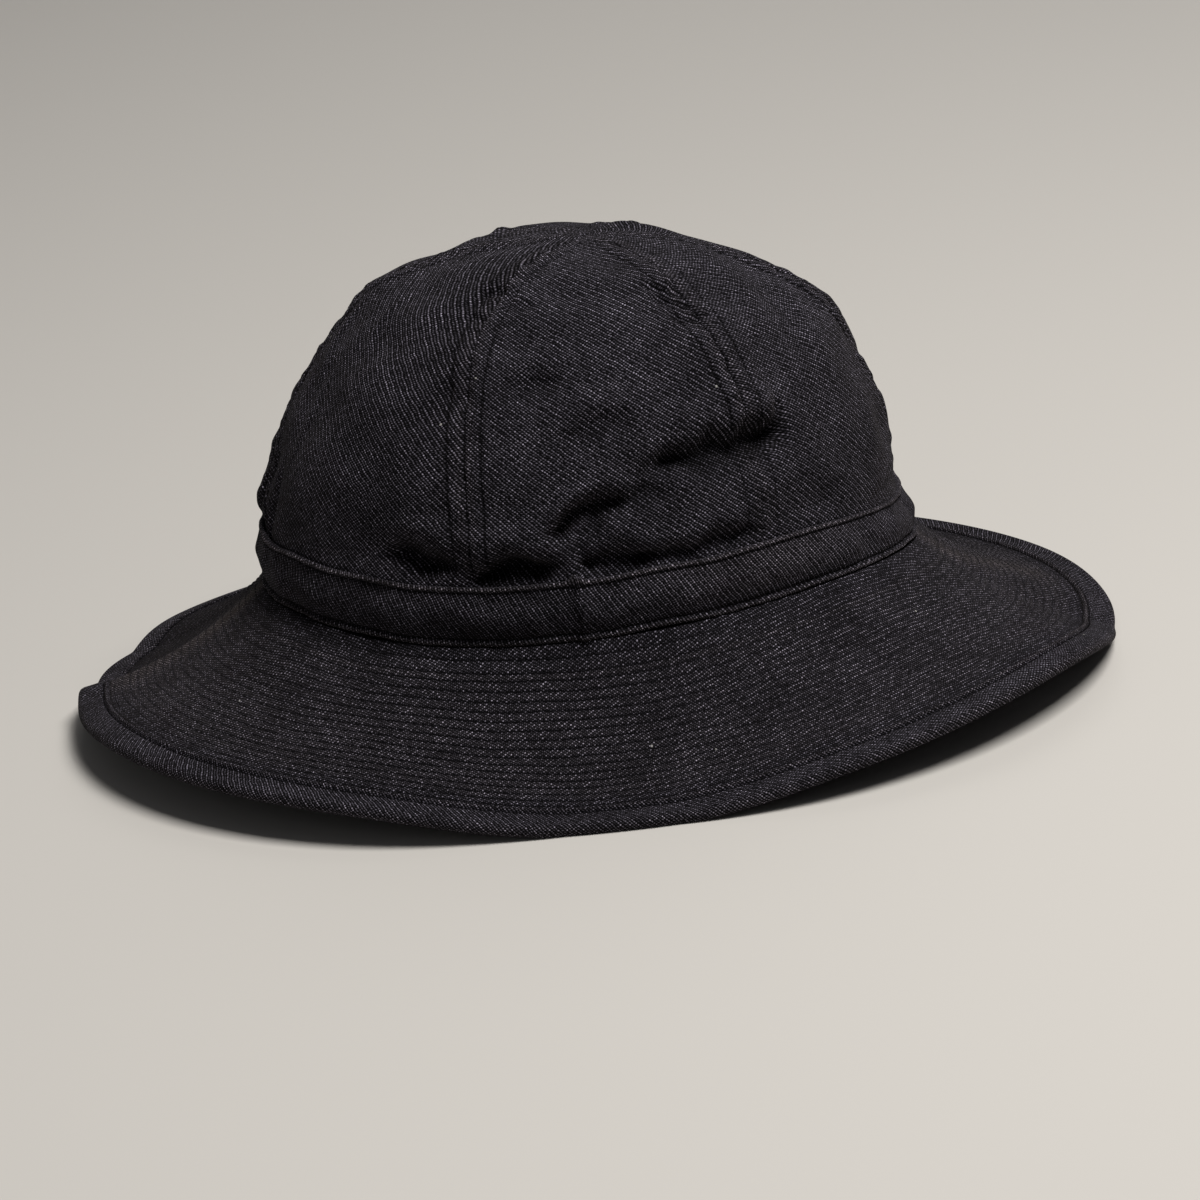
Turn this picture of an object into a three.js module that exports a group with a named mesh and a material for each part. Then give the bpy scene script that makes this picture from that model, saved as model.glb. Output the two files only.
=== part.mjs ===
// Fatigue cap: a soft six-panel denim sun hat with a stitched band and a wide
// quilted brim, lying on a level floor on the two drooping sides of its brim.
//
// Units are millimetres, +Z is up and the floor is z = 0. The cap's length, from
// the front of the brim to the back, runs along X with the front at -X; the
// wearer's left side faces -Y. The origin is on the floor under the middle of
// the cap.
//
// Everything is built from two ideas. A ring (brim, edge binding, band) is one
// small cross-section carried round the head oval, and a crown panel is one
// sheet between two seams, given a thickness. Directions round the oval are
// bearings in degrees: 0 is the back, 90 the wearer's right, 180 the front and
// -90 the wearer's left.

import * as THREE from 'three';

// ---------------------------------------------------------------- sizes (mm)

const HEAD_HALF_LENGTH = 105;     // outside of the band at its lower edge, along X
const HEAD_HALF_WIDTH = 88;       // the same, along Y
const BAND_FOOT = 42.2;            // height of the band's lower edge over the floor

const BAND_HEIGHT = 18;
const BAND_WALL = 1.5;
const BAND_LEAN = 1.0;            // how far the band's top edge sits inwards
const BAND_PUFF = 0.7;            // fullness between its two edge stitchings
const BAND_EDGE = 2.2;            // from each edge to the stitching
const BAND_JOINT_BEARING = -92.5; // where the two ends of the strip meet

const CLOTH_GAP = 0.3;            // air left between neighbouring pieces

const CROWN_WALL = 1.4;
const CROWN_HEIGHT = 101.5;       // apex over the band's lower edge
const CROWN_SHOULDER = 2.75;      // roundness of the crown's profile, outwards
const CROWN_CAP = 1.75;           // roundness of the crown's profile, upwards
const CROWN_SPRING = 10;          // height at which that profile begins
const CROWN_TOP_RATIO = 0.84;     // width over length near the apex
const APEX_TOWARDS_BACK = 10;     // the seams meet this far behind the middle
const APEX_SHIFT_POWER = 5;       // and only the top of the crown follows them
const APEX_OPENING = 1.3;         // the panel tips stop this far from the apex
const PANEL_FLATNESS = 0.018;     // how much flatter a panel is between its seams

const BRIM_SLANT = 70.7;          // band to outer edge, along the cloth
const BRIM_WALL = 2.2;
const BRIM_TUCK = 3.4;            // brim cloth that runs in under band and crown

const BINDING_WIDTH = 11;         // visible leaf of the binding, along the cloth
const BINDING_MIDDLE = 6;          // how far along that leaf its bend lies
const BINDING_WALL = 0.95;
const BINDING_PROUD = 0.5;        // how far the binding stands above the brim
const BINDING_DEPTH = 3.7;        // overall thickness of the bound edge
const BOUND_EDGE_CORE = 1.0;      // brim thickness inside the binding
const FLATTENED = 0.9;            // how far the resting edge is pressed level

const SECTIONS_ROUND = 72;        // cross-sections in each ring
const PANEL_COLUMNS = 7;
const PANEL_ROWS = 11;

// How steeply the brim hangs round the hat: `droop` is its mean slope below
// level and `flare` how much steeper it leaves the band than it ends (degrees).
const BRIM_SHAPE = [
  { bearing: -180, droop: 22.6, flare: 26 },
  { bearing: -150, droop: 22.0, flare: 34 },
  { bearing: -120, droop: 24.8, flare: 46 },
  { bearing: -90, droop: 37.0, flare: 61 },
  { bearing: -60, droop: 25.6, flare: 46 },
  { bearing: -30, droop: 20.0, flare: 32 },
  { bearing: 0, droop: 30.0, flare: 18 },
  { bearing: 30, droop: 32.6, flare: 36 },
  { bearing: 60, droop: 34.4, flare: 50 },
  { bearing: 90, droop: 36.6, flare: 60 },
  { bearing: 120, droop: 34.4, flare: 52 },
  { bearing: 150, droop: 29.3, flare: 34 },
];

// The fold left along the brim's front by storing the hat flat: a crest with a
// shallow valley on the wearer's right of it.
const FRONT_CREST = { bearing: -179, spread: 7, rise: 2.4 };
const FRONT_VALLEY = { bearing: 168, spread: 9, rise: -7.5 };
const BACK_CREST = { bearing: 7, spread: 10, rise: 1.6 };

// The line where crown, band and brim meet dips a little round the back.
const BACK_DIP = { bearing: 22, spread: 36, rise: -6 };

// The six crown seams in order round the hat: the bearing of each where it
// leaves the band and where it reaches the apex.
const CROWN_SEAMS = [
  { name: 'front', foot: -172, crest: -180 },
  { name: 'left front', foot: -112, crest: -121 },
  { name: 'left back', foot: -58.5, crest: -50 },
  { name: 'back', foot: -2, crest: 0 },
  { name: 'right back', foot: 61, crest: 60 },
  { name: 'right front', foot: 124, crest: 119 },
];

// Soft dents in the crown: where each is (bearing, height over the band's lower
// edge), how long and wide it is, how deep, and how its length leans from level.
const CROWN_DENTS = [
  { name: 'long crease', bearing: -63, height: 53, length: 30, width: 6, depth: 2.2, lean: 3 },
  { name: 'slanting crease', bearing: -90, height: 38, length: 16, width: 7, depth: 2.2, lean: 24 },
  { name: 'pucker before the seam', bearing: -121, height: 26, length: 9, width: 7, depth: 1.8, lean: 0 },
  { name: 'pucker behind the seam', bearing: -102, height: 25, length: 14, width: 7, depth: 2.4, lean: 4 },
  { name: 'pucker at the joint', bearing: -86, height: 24, length: 8, width: 7, depth: 1.8, lean: 0 },
  { name: 'low hollow', bearing: -68, height: 27, length: 14, width: 9, depth: 1.4, lean: 0 },
  { name: 'front hollow', bearing: 158, height: 46, length: 24, width: 11, depth: 1.8, lean: 10 },
  { name: 'right hollow', bearing: 88, height: 40, length: 28, width: 10, depth: 2.0, lean: -12 },
  { name: 'back hollow', bearing: 30, height: 56, length: 24, width: 10, depth: 1.8, lean: 10 },
];

// ------------------------------------------------------------------- helpers

const radians = (degrees) => degrees * Math.PI / 180;

/** Signed difference between two bearings, within half a turn. */
function bearingBetween(a, b) {
  return ((a - b + 540) % 360 + 360) % 360 - 180;
}

/** Unit direction square to the head oval at a bearing, in plan. */
function outward(bearing) {
  const x = Math.cos(radians(bearing)) / HEAD_HALF_LENGTH;
  const y = Math.sin(radians(bearing)) / HEAD_HALF_WIDTH;
  const size = Math.hypot(x, y);
  return [x / size, y / size];
}

/** A point `out` mm outside the head oval at a bearing, at a height. */
function beside(bearing, out, height) {
  const [nx, ny] = outward(bearing);
  return [
    HEAD_HALF_LENGTH * Math.cos(radians(bearing)) + nx * out,
    HEAD_HALF_WIDTH * Math.sin(radians(bearing)) + ny * out,
    height,
  ];
}

/** Smooth closed curve through evenly spaced table rows, one column of it. */
function roundTable(table, column, bearing) {
  const place = bearingBetween(bearing, -180) / 360 * table.length;
  const spot = (place + table.length) % table.length;
  const i = Math.floor(spot);
  const t = spot - i;
  const row = (k) => table[(i + k + table.length) % table.length][column];
  const [a, b, c, d] = [row(-1), row(0), row(1), row(2)];
  return b + 0.5 * t * (c - a + t * (2 * a - 5 * b + 4 * c - d + t * (3 * (b - c) + d - a)));
}

/** Bell-shaped swell of a crest or valley at a bearing. */
function swell(fold, bearing) {
  const away = bearingBetween(bearing, fold.bearing) / fold.spread;
  return fold.rise * Math.exp(-away * away);
}

/** Height of the band's lower edge at a bearing. */
function footHeight(bearing) {
  return BAND_FOOT + swell(BACK_DIP, bearing);
}

/** Turn vertices and triangles into a named mesh that faces outwards. */
function makeMesh(name, points, triangles, colour, roughness) {
  let volume = 0;
  for (const [i, j, k] of triangles) {
    const [a, b, c] = [points[i], points[j], points[k]];
    volume += a[0] * (b[1] * c[2] - b[2] * c[1]);
    volume += a[1] * (b[2] * c[0] - b[0] * c[2]);
    volume += a[2] * (b[0] * c[1] - b[1] * c[0]);
  }
  const facing = volume > 0 ? triangles : triangles.map(([i, j, k]) => [i, k, j]);
  const geometry = new THREE.BufferGeometry();
  geometry.setAttribute('position', new THREE.Float32BufferAttribute(points.flat(), 3));
  geometry.setIndex(facing.flat());
  geometry.computeVertexNormals();
  const material = new THREE.MeshStandardMaterial({ color: colour, roughness, metalness: 0 });
  const mesh = new THREE.Mesh(geometry, material);
  mesh.name = name;
  return mesh;
}

/** Two triangles for the four corners of a grid cell. */
function quad(a, b, c, d) {
  return [[a, b, c], [a, c, d]];
}

/**
 * Carry a closed cross-section round the oval. `section(bearing)` gives
 * [out, height] pairs. With `from` and `to` given the strip is open there and
 * its two ends are capped.
 */
function ring(name, section, colour, roughness, from = null, to = null) {
  const open = from !== null;
  const stations = open ? SECTIONS_ROUND + 1 : SECTIONS_ROUND;
  const start = open ? from : -180;
  const sweep = open ? to - from : 360;
  const points = [];
  const triangles = [];
  let across = 0;
  for (let i = 0; i < stations; i += 1) {
    const bearing = start + sweep * i / SECTIONS_ROUND;
    const loop = section(bearing);
    across = loop.length;
    for (const [out, height] of loop) {
      points.push(beside(bearing, out, height));
    }
  }
  const spans = open ? stations - 1 : stations;
  for (let i = 0; i < spans; i += 1) {
    const next = (i + 1) % stations;
    for (let k = 0; k < across; k += 1) {
      const l = (k + 1) % across;
      triangles.push(...quad(i * across + k, i * across + l, next * across + l, next * across + k));
    }
  }
  if (open) {
    const last = (stations - 1) * across;
    const half = across / 2;
    for (let k = 0; k < half - 1; k += 1) {
      const l = across - 1 - k;
      triangles.push(...quad(k, l, l - 1, k + 1));
      triangles.push(...quad(last + k, last + k + 1, last + l - 1, last + l));
    }
  }
  return makeMesh(name, points, triangles, colour, roughness);
}

// ---------------------------------------------------------------------- brim

/**
 * Face of the brim at a distance along the slant: how far out it has run, how
 * far it has dropped, and its slope there. The slope falls evenly from the band
 * to the edge, so the face is part of a circle.
 */
function brimFace(droop, flare, along) {
  const first = radians(droop + flare / 2);
  const turn = radians(flare) / BRIM_SLANT;
  const here = first - turn * along;
  return {
    out: (Math.sin(first) - Math.sin(here)) / turn,
    drop: (Math.cos(here) - Math.cos(first)) / turn,
    slope: here,
  };
}

/** Lift of the brim's folds, growing from the band to the edge. */
function foldLift(bearing, along) {
  const share = Math.min(1, Math.max(0, along / BRIM_SLANT));
  const folds = swell(FRONT_CREST, bearing) + swell(FRONT_VALLEY, bearing) + swell(BACK_CREST, bearing);
  return folds * share * (1.6 - 0.6 * share);
}

/** Height of a point `under` mm beneath the brim's face, hanging freely. */
function freeHeight(bearing, face, along, under) {
  const top = footHeight(bearing) - CLOTH_GAP - face.drop + foldLift(bearing, along);
  return top - under * Math.cos(face.slope);
}

/**
 * A point `under` mm beneath the brim's face, square to it. Where the underside
 * would pass through the floor, every layer above it is raised alike, so the
 * edge lies flat at its full thickness.
 */
function brimPoint(bearing, droop, along, under) {
  const flare = roundTable(BRIM_SHAPE, 'flare', bearing);
  const face = brimFace(droop, flare, along);
  const sole = freeHeight(bearing, face, along, BINDING_DEPTH - BINDING_PROUD);
  return [
    face.out - under * Math.sin(face.slope),
    freeHeight(bearing, face, along, under) + Math.max(0, -sole),
  ];
}

/** Lowest height of the bound edge for a given droop, hanging freely. */
function lowestUnder(bearing, droop) {
  const flare = roundTable(BRIM_SHAPE, 'flare', bearing);
  const heights = [0, 1.3, 3, 5, 7].map((back) => {
    const along = BRIM_SLANT - back;
    return freeHeight(bearing, brimFace(droop, flare, along), along, BINDING_DEPTH - BINDING_PROUD);
  });
  return Math.min(...heights);
}

/** The droop at a bearing, eased where the edge would sink through the floor. */
function restingDroop(bearing) {
  const free = roundTable(BRIM_SHAPE, 'droop', bearing);
  if (lowestUnder(bearing, free) >= -FLATTENED) {
    return free;
  }
  let low = free - 15;
  let high = free;
  for (let step = 0; step < 30; step += 1) {
    const middle = (low + high) / 2;
    if (lowestUnder(bearing, middle) < -FLATTENED) {
      high = middle;
    } else {
      low = middle;
    }
  }
  return low;
}

/** One closed loop of the brim: out along its upper face, back underneath. */
function brimSection(bearing) {
  const droop = restingDroop(bearing);
  const boundFrom = BRIM_SLANT - BINDING_WIDTH - CLOTH_GAP;
  const coreTop = (BINDING_DEPTH - BOUND_EDGE_CORE) / 2 - BINDING_PROUD;
  const coreEnd = BRIM_SLANT - BINDING_WALL - 1;
  const foot = footHeight(bearing) - CLOTH_GAP;
  const upper = [[-BRIM_TUCK, foot]];
  for (const share of [0, 0.08, 0.2, 0.36, 0.53, 0.7, 0.86, 1]) {
    upper.push(brimPoint(bearing, droop, share * boundFrom, 0));
  }
  const middle = BRIM_SLANT - BINDING_WIDTH + BINDING_MIDDLE;
  upper.push(brimPoint(bearing, droop, boundFrom + 0.05, coreTop));
  upper.push(brimPoint(bearing, droop, middle, coreTop));
  upper.push(brimPoint(bearing, droop, coreEnd, coreTop));
  const lower = [[-BRIM_TUCK, foot - BRIM_WALL], [-BRIM_WALL * 0.62, foot - BRIM_WALL]];
  for (const share of [0.08, 0.2, 0.36, 0.53, 0.7, 0.86, 0.97]) {
    lower.push(brimPoint(bearing, droop, share * boundFrom, BRIM_WALL));
  }
  lower.push(brimPoint(bearing, droop, boundFrom + 0.7, coreTop + BOUND_EDGE_CORE));
  lower.push(brimPoint(bearing, droop, middle, coreTop + BOUND_EDGE_CORE));
  lower.push(brimPoint(bearing, droop, coreEnd, coreTop + BOUND_EDGE_CORE));
  return [...upper, ...lower.reverse()];
}

// -------------------------------------------------------------- edge binding

/** The binding is a strip folded over the brim's edge, so its section is a U. */
function bindingSection(bearing) {
  const droop = restingDroop(bearing);
  const leaf = BRIM_SLANT - BINDING_WIDTH;
  const top = -BINDING_PROUD;
  const bottom = BINDING_DEPTH - BINDING_PROUD;
  const slotTop = top + BINDING_WALL;
  const slotBottom = bottom - BINDING_WALL;
  const slotEnd = BRIM_SLANT - BINDING_WALL - 0.55;
  const outside = [
    [leaf, top + 0.1],
    [leaf + 1.2, top],
    [leaf + BINDING_MIDDLE, top],
    [BRIM_SLANT - 1.3, top],
    [BRIM_SLANT - 0.35, top + 0.75],
    [BRIM_SLANT, (top + bottom) / 2],
    [BRIM_SLANT - 0.35, bottom - 0.75],
    [BRIM_SLANT - 1.3, bottom],
    [leaf + BINDING_MIDDLE, bottom],
    [leaf + 1.2, bottom],
    [leaf, bottom - 0.1],
  ];
  const inside = [
    [leaf, slotBottom],
    [leaf + BINDING_MIDDLE, slotBottom],
    [slotEnd, slotBottom],
    [slotEnd, slotTop],
    [leaf + BINDING_MIDDLE, slotTop],
    [leaf, slotTop],
  ];
  const place = ([along, under]) => brimPoint(bearing, droop, along, under);
  return [...outside, ...inside].map(place);
}

// ---------------------------------------------------------------------- band

/** The band is one flat strip, puffed between its two lines of edge stitching. */
function bandSection(bearing) {
  const foot = footHeight(bearing);
  const lean = (up) => -BAND_LEAN * up / BAND_HEIGHT;
  const row = (up, puff) => [lean(up) + puff, foot + up];
  const face = [
    row(0, 0),
    row(BAND_EDGE, -0.25),
    row(BAND_HEIGHT * 0.47, BAND_PUFF),
    row(BAND_HEIGHT - BAND_EDGE, -0.2),
    row(BAND_HEIGHT, 0),
  ];
  const back = face.map(([, height]) => [lean(height - foot) - BAND_WALL, height]);
  return [...face, ...back.reverse()];
}

// --------------------------------------------------------------------- crown

/** Depth of all the dents at a place on the crown. */
function dentDepth(bearing, height, radius) {
  let depth = 0;
  for (const dent of CROWN_DENTS) {
    const across = radians(bearingBetween(bearing, dent.bearing)) * radius;
    const up = height - dent.height;
    const lean = radians(dent.lean);
    const along = across * Math.cos(lean) + up * Math.sin(lean);
    const aside = up * Math.cos(lean) - across * Math.sin(lean);
    depth += dent.depth * Math.exp(-((along / dent.length) ** 2) - (aside / dent.width) ** 2);
  }
  return depth;
}

/**
 * Outer face of the crown. `climb` runs from -1 at the foot of the wall, behind
 * the band, through 0 at the band's top edge, to 1 at the apex.
 */
function crownFace(bearing, climb) {
  const wall = BAND_WALL + BAND_LEAN + CLOTH_GAP;
  const reach = CROWN_HEIGHT - CROWN_SPRING;
  const startShare = (BAND_HEIGHT - CROWN_SPRING) / reach;
  const startTurn = Math.asin(startShare ** (CROWN_CAP / 2));
  const turn = startTurn + (Math.PI / 2 - startTurn) * Math.max(climb, 0);
  const rise = Math.sin(turn) ** (2 / CROWN_CAP);
  const height = climb < 0 ? BAND_HEIGHT * (1 + climb) : CROWN_SPRING + reach * rise;
  const width = Math.max(Math.cos(turn), 0) ** (2 / CROWN_SHOULDER);
  const fullWidth = Math.cos(startTurn) ** (2 / CROWN_SHOULDER);
  const share = width / fullWidth;
  const halfLength = (HEAD_HALF_LENGTH - wall) * share;
  const ratio = HEAD_HALF_WIDTH / HEAD_HALF_LENGTH * (1 - rise) + CROWN_TOP_RATIO * rise;
  const halfWidth = Math.min((HEAD_HALF_WIDTH - wall) * share, halfLength * ratio);
  const shift = APEX_TOWARDS_BACK * Math.max(climb, 0) ** APEX_SHIFT_POWER;
  const hollow = climb > 0 ? dentDepth(bearing, height, halfLength) * Math.min(1, climb * 9) : 0;
  const flat = 1 - PANEL_FLATNESS * betweenSeams(bearing, climb) * Math.min(1, Math.max(climb, 0) * 2);
  const inward = Math.max(0, 1 - hollow / Math.max(halfLength, 1)) * flat;
  return [
    halfLength * inward * Math.cos(radians(bearing)) + shift,
    halfWidth * inward * Math.sin(radians(bearing)),
    BAND_FOOT + height + swell(BACK_DIP, bearing) * (1 - Math.max(climb, 0)) ** 2,
  ];
}

/** Bearing of a seam at a climb. */
function seamBearing(seam, climb) {
  return seam.foot + (seam.crest - seam.foot) * Math.max(climb, 0);
}

/** 0 on a seam, rising to 1 halfway between two seams. */
function betweenSeams(bearing, climb) {
  for (let i = 0; i < CROWN_SEAMS.length; i += 1) {
    const from = seamBearing(CROWN_SEAMS[i], climb);
    const to = seamBearing(CROWN_SEAMS[(i + 1) % CROWN_SEAMS.length], climb);
    const span = (to - from + 720) % 360;
    const past = (bearing - from + 720) % 360;
    if (past <= span) {
      return Math.sin(Math.PI * past / span);
    }
  }
  return 0;
}

/** Inner face: the outer face moved in by the wall, square to the cloth. */
function crownLining(bearing, climb) {
  const step = 0.004;
  const highest = 1 - step;
  const at = crownFace(bearing, climb);
  const aside = new THREE.Vector3(...crownFace(bearing + 0.5, Math.min(climb, highest)));
  const other = new THREE.Vector3(...crownFace(bearing - 0.5, Math.min(climb, highest)));
  const above = new THREE.Vector3(...crownFace(bearing, Math.min(climb + step, 1)));
  const below = new THREE.Vector3(...crownFace(bearing, climb - step));
  const normal = aside.sub(other).cross(above.sub(below)).normalize();
  if (climb <= 0) {
    normal.z = 0;
    normal.normalize();
  }
  return [
    at[0] - normal.x * CROWN_WALL,
    at[1] - normal.y * CROWN_WALL,
    at[2] - normal.z * CROWN_WALL,
  ];
}

/** Climb at which the crown has narrowed to the opening at its apex. */
function lastClimb() {
  let low = 0.5;
  let high = 1;
  for (let step = 0; step < 40; step += 1) {
    const middle = (low + high) / 2;
    const point = crownFace(90, middle);
    if (Math.abs(point[1]) > APEX_OPENING) {
      low = middle;
    } else {
      high = middle;
    }
  }
  return low;
}

/** One panel: a sheet between two seams with an outer and an inner face. */
function crownPanel(index, colour, roughness) {
  const near = CROWN_SEAMS[index];
  const far = CROWN_SEAMS[(index + 1) % CROWN_SEAMS.length];
  const top = lastClimb();
  const climbs = [-1, -0.5, 0];
  for (let row = 1; row <= PANEL_ROWS; row += 1) {
    climbs.push(top * row / PANEL_ROWS);
  }
  const columns = PANEL_COLUMNS + 1;
  const points = [];
  for (const face of [crownFace, crownLining]) {
    for (const climb of climbs) {
      const from = seamBearing(near, climb);
      const span = (seamBearing(far, climb) - from + 720) % 360;
      const radius = crownFace(90, climb)[1];
      const margin = CLOTH_GAP * 0.55 / radius * 180 / Math.PI;
      for (let column = 0; column < columns; column += 1) {
        const bearing = from + margin + (span - 2 * margin) * column / PANEL_COLUMNS;
        points.push(face(bearing, climb));
      }
    }
  }
  const rows = climbs.length;
  const inner = rows * columns;
  const at = (row, column) => row * columns + column;
  const triangles = [];
  for (let row = 0; row < rows - 1; row += 1) {
    for (let column = 0; column < columns - 1; column += 1) {
      const [a, b] = [at(row, column), at(row, column + 1)];
      const [c, d] = [at(row + 1, column + 1), at(row + 1, column)];
      triangles.push(...quad(a, b, c, d));
      triangles.push(...quad(inner + a, inner + d, inner + c, inner + b));
    }
    const [left, leftUp] = [at(row, 0), at(row + 1, 0)];
    const [right, rightUp] = [at(row, columns - 1), at(row + 1, columns - 1)];
    triangles.push(...quad(left, leftUp, inner + leftUp, inner + left));
    triangles.push(...quad(right, inner + right, inner + rightUp, rightUp));
  }
  for (let column = 0; column < columns - 1; column += 1) {
    const [a, b] = [at(0, column), at(0, column + 1)];
    const [c, d] = [at(rows - 1, column), at(rows - 1, column + 1)];
    triangles.push(...quad(a, inner + a, inner + b, b));
    triangles.push(...quad(c, d, inner + d, inner + c));
  }
  return makeMesh(`crown_panel_${index + 1}`, points, triangles, colour, roughness);
}

// ------------------------------------------------------------------ assembly

const DENIM = 0x2b2d31;
const DENIM_BRIM = 0x28292d;
const DENIM_BINDING = 0x242529;

const group = new THREE.Group();
group.name = 'fatigue_cap';

for (let index = 0; index < CROWN_SEAMS.length; index += 1) {
  group.add(crownPanel(index, DENIM, 0.92));
}

const joint = CLOTH_GAP / HEAD_HALF_LENGTH * 180 / Math.PI;
group.add(ring(
  'hat_band',
  bandSection,
  DENIM,
  0.92,
  BAND_JOINT_BEARING + joint,
  BAND_JOINT_BEARING + 360 - joint,
));

group.add(ring('brim', brimSection, DENIM_BRIM, 0.94));
group.add(ring('edge_binding', bindingSection, DENIM_BINDING, 0.9));

// Put the origin under the middle of the cap's overall length and width.
const overall = new THREE.Box3().setFromObject(group);
const middle = overall.getCenter(new THREE.Vector3());
for (const mesh of group.children) {
  mesh.geometry.translate(-middle.x, -middle.y, 0);
}

export default group;
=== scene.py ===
# %% [markdown]
# # A denim fatigue cap, sewn in code
#
# The cap is a soft six-panel sun hat of black twill. Six gores make the crown,
# a stitched strip hides the seam where crown meets brim, and the wide brim is
# quilted with many rings of stitching and bound at its edge. It lies on the
# floor as such a hat does by itself, on the two drooping sides of its brim.
#
# The solid model already holds every piece at its real size. This lesson dresses
# it: each piece is made again as a fine surface, worked out as whole arrays of
# points, and given a woven finish.

import bpy
import numpy as np
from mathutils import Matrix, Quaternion, Vector


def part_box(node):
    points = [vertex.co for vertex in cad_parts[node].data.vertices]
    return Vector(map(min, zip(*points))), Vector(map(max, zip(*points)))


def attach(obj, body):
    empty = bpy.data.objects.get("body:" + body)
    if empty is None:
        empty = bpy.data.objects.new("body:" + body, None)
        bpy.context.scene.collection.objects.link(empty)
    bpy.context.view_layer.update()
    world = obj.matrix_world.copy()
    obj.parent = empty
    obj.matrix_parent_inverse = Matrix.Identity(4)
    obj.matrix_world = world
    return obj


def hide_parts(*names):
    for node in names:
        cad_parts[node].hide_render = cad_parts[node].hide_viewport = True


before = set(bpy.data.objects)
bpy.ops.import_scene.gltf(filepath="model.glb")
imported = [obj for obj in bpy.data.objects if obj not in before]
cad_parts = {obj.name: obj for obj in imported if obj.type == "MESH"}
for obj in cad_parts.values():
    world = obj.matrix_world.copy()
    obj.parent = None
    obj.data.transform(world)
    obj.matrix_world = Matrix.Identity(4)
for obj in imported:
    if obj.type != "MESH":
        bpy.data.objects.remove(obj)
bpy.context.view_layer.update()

# %% [markdown]
# ## Where things are
#
# All shapes below are worked out in millimetres about the middle of the head
# oval. Directions round the hat are *bearings* in degrees: 0 is the back, 90 the
# wearer's right, 180 the front and -90 the wearer's left. The solid band tells
# where that oval lies in the frame, so nothing has to be fitted by eye. A *swell*
# is a place round the hat where something rises: its bearing, how far it spreads
# to both sides, and its rise.

# %% Head oval and the frame's own numbers
def named_rows(columns, *rows):
    """A table: each row of values becomes a dictionary with the named columns."""
    return [dict(zip(columns.split(), row)) for row in rows]


MM = 0.001
HEAD_HALF_LENGTH = 105.0
HEAD_HALF_WIDTH = 88.0
BAND_HEIGHT = 18.8
SOLID_DIP = 6.0        # how far the solid band dips at its lowest place, at the back
BACK_DIP = {"bearing": 10, "spread": 31, "rise": -7.0}
FOOT_WAVES = named_rows("bearing spread rise", (-48, 24, 1.3), (-108, 26, -1.4), (-152, 13, 1.5))
BAND_SLUMP = {"bearing": -14, "spread": 28, "rise": 4.0}   # how much lower the strip stands there
BACK_LEAN = {"bearing": 0, "spread": 42, "rise": 3.4}
LEAN_FADE = 13.0       # the lean dies away within about this height over the band

band_low, band_high = (np.array(corner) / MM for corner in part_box("hat_band"))
BAND_FOOT = band_low[2] + SOLID_DIP
OVAL_MIDDLE = np.array([*(band_low + band_high)[:2] / 2, 0.0])
print("band foot", round(BAND_FOOT, 2), "mm; oval middle", OVAL_MIDDLE.round(2))


# %% Curves used all over the hat
def bearing_between(a, b):
    """Signed difference between two bearings, wrapped to within half a turn."""
    return (a - b + 180.0) % 360.0 - 180.0


def step_up(value, low, high):
    """0 below `low`, 1 above `high`, and an S-curve between them."""
    t = np.clip((value - low) / (high - low), 0.0, 1.0)
    return t * t * (3.0 - 2.0 * t)


def bell(away, spread):
    """Bell curve: e to the minus (distance / spread) squared, so it is 1 in the middle."""
    return np.exp(-((away / spread) ** 2))


def swell(fold, bearing):
    """The fold's rise times a bell curve of the angle from its bearing."""
    return fold["rise"] * bell(bearing_between(bearing, fold["bearing"]), fold["spread"])


def round_table(table, column, bearing):
    """Smooth closed curve through evenly spaced rows (a Catmull-Rom spline round the hat)."""
    values = np.array([row[column] for row in table], float)
    place = ((bearing + 180.0) % 360.0) / 360.0 * len(values)
    i = np.floor(place).astype(int)
    t = place - i
    a, b, c, d = (values[(i + k) % len(values)] for k in (-1, 0, 1, 2))
    return b + 0.5 * t * (c - a + t * (2 * a - 5 * b + 4 * c - d + t * (3 * (b - c) + d - a)))


def run_along(line):
    """Distance along a line of points, from its first point to each of them."""
    return np.concatenate([[0], np.cumsum(np.linalg.norm(np.diff(line, axis=0), axis=1))])


# %% Directions round the oval
def outward(bearing):
    """Unit direction square to the oval in plan: (cos b / length, sin b / width), scaled to one."""
    x = np.cos(np.radians(bearing)) / HEAD_HALF_LENGTH
    y = np.sin(np.radians(bearing)) / HEAD_HALF_WIDTH
    size = np.hypot(x, y)
    return x / size, y / size


def beside(bearing, out, height):
    """Points `out` mm outside the oval: the oval's own point plus `out` times its outward direction."""
    nx, ny = outward(bearing)
    x = HEAD_HALF_LENGTH * np.cos(np.radians(bearing)) + nx * out
    y = HEAD_HALF_WIDTH * np.sin(np.radians(bearing)) + ny * out
    return np.stack(np.broadcast_arrays(x, y, height), -1)


def foot_height(bearing, waves=1.0):
    """Height of the band's lower edge: it dips round the back and waves a little along the side."""
    return BAND_FOOT + swell(BACK_DIP, bearing) + waves * sum(swell(wave, bearing) for wave in FOOT_WAVES)


def lean_in(bearing, height):
    """How far band and crown lean in round the back: grows up the band, then dies away up the crown."""
    up = np.clip(height / BAND_HEIGHT, 0, 1)
    return swell(BACK_LEAN, bearing) * up * bell(np.maximum(0, height - BAND_HEIGHT), LEAN_FADE)


head_round = run_along(beside(np.linspace(0, 360, 721), 0.0, 0.0))[-1]
print("once round the head oval:", round(head_round, 1), "mm")
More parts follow.
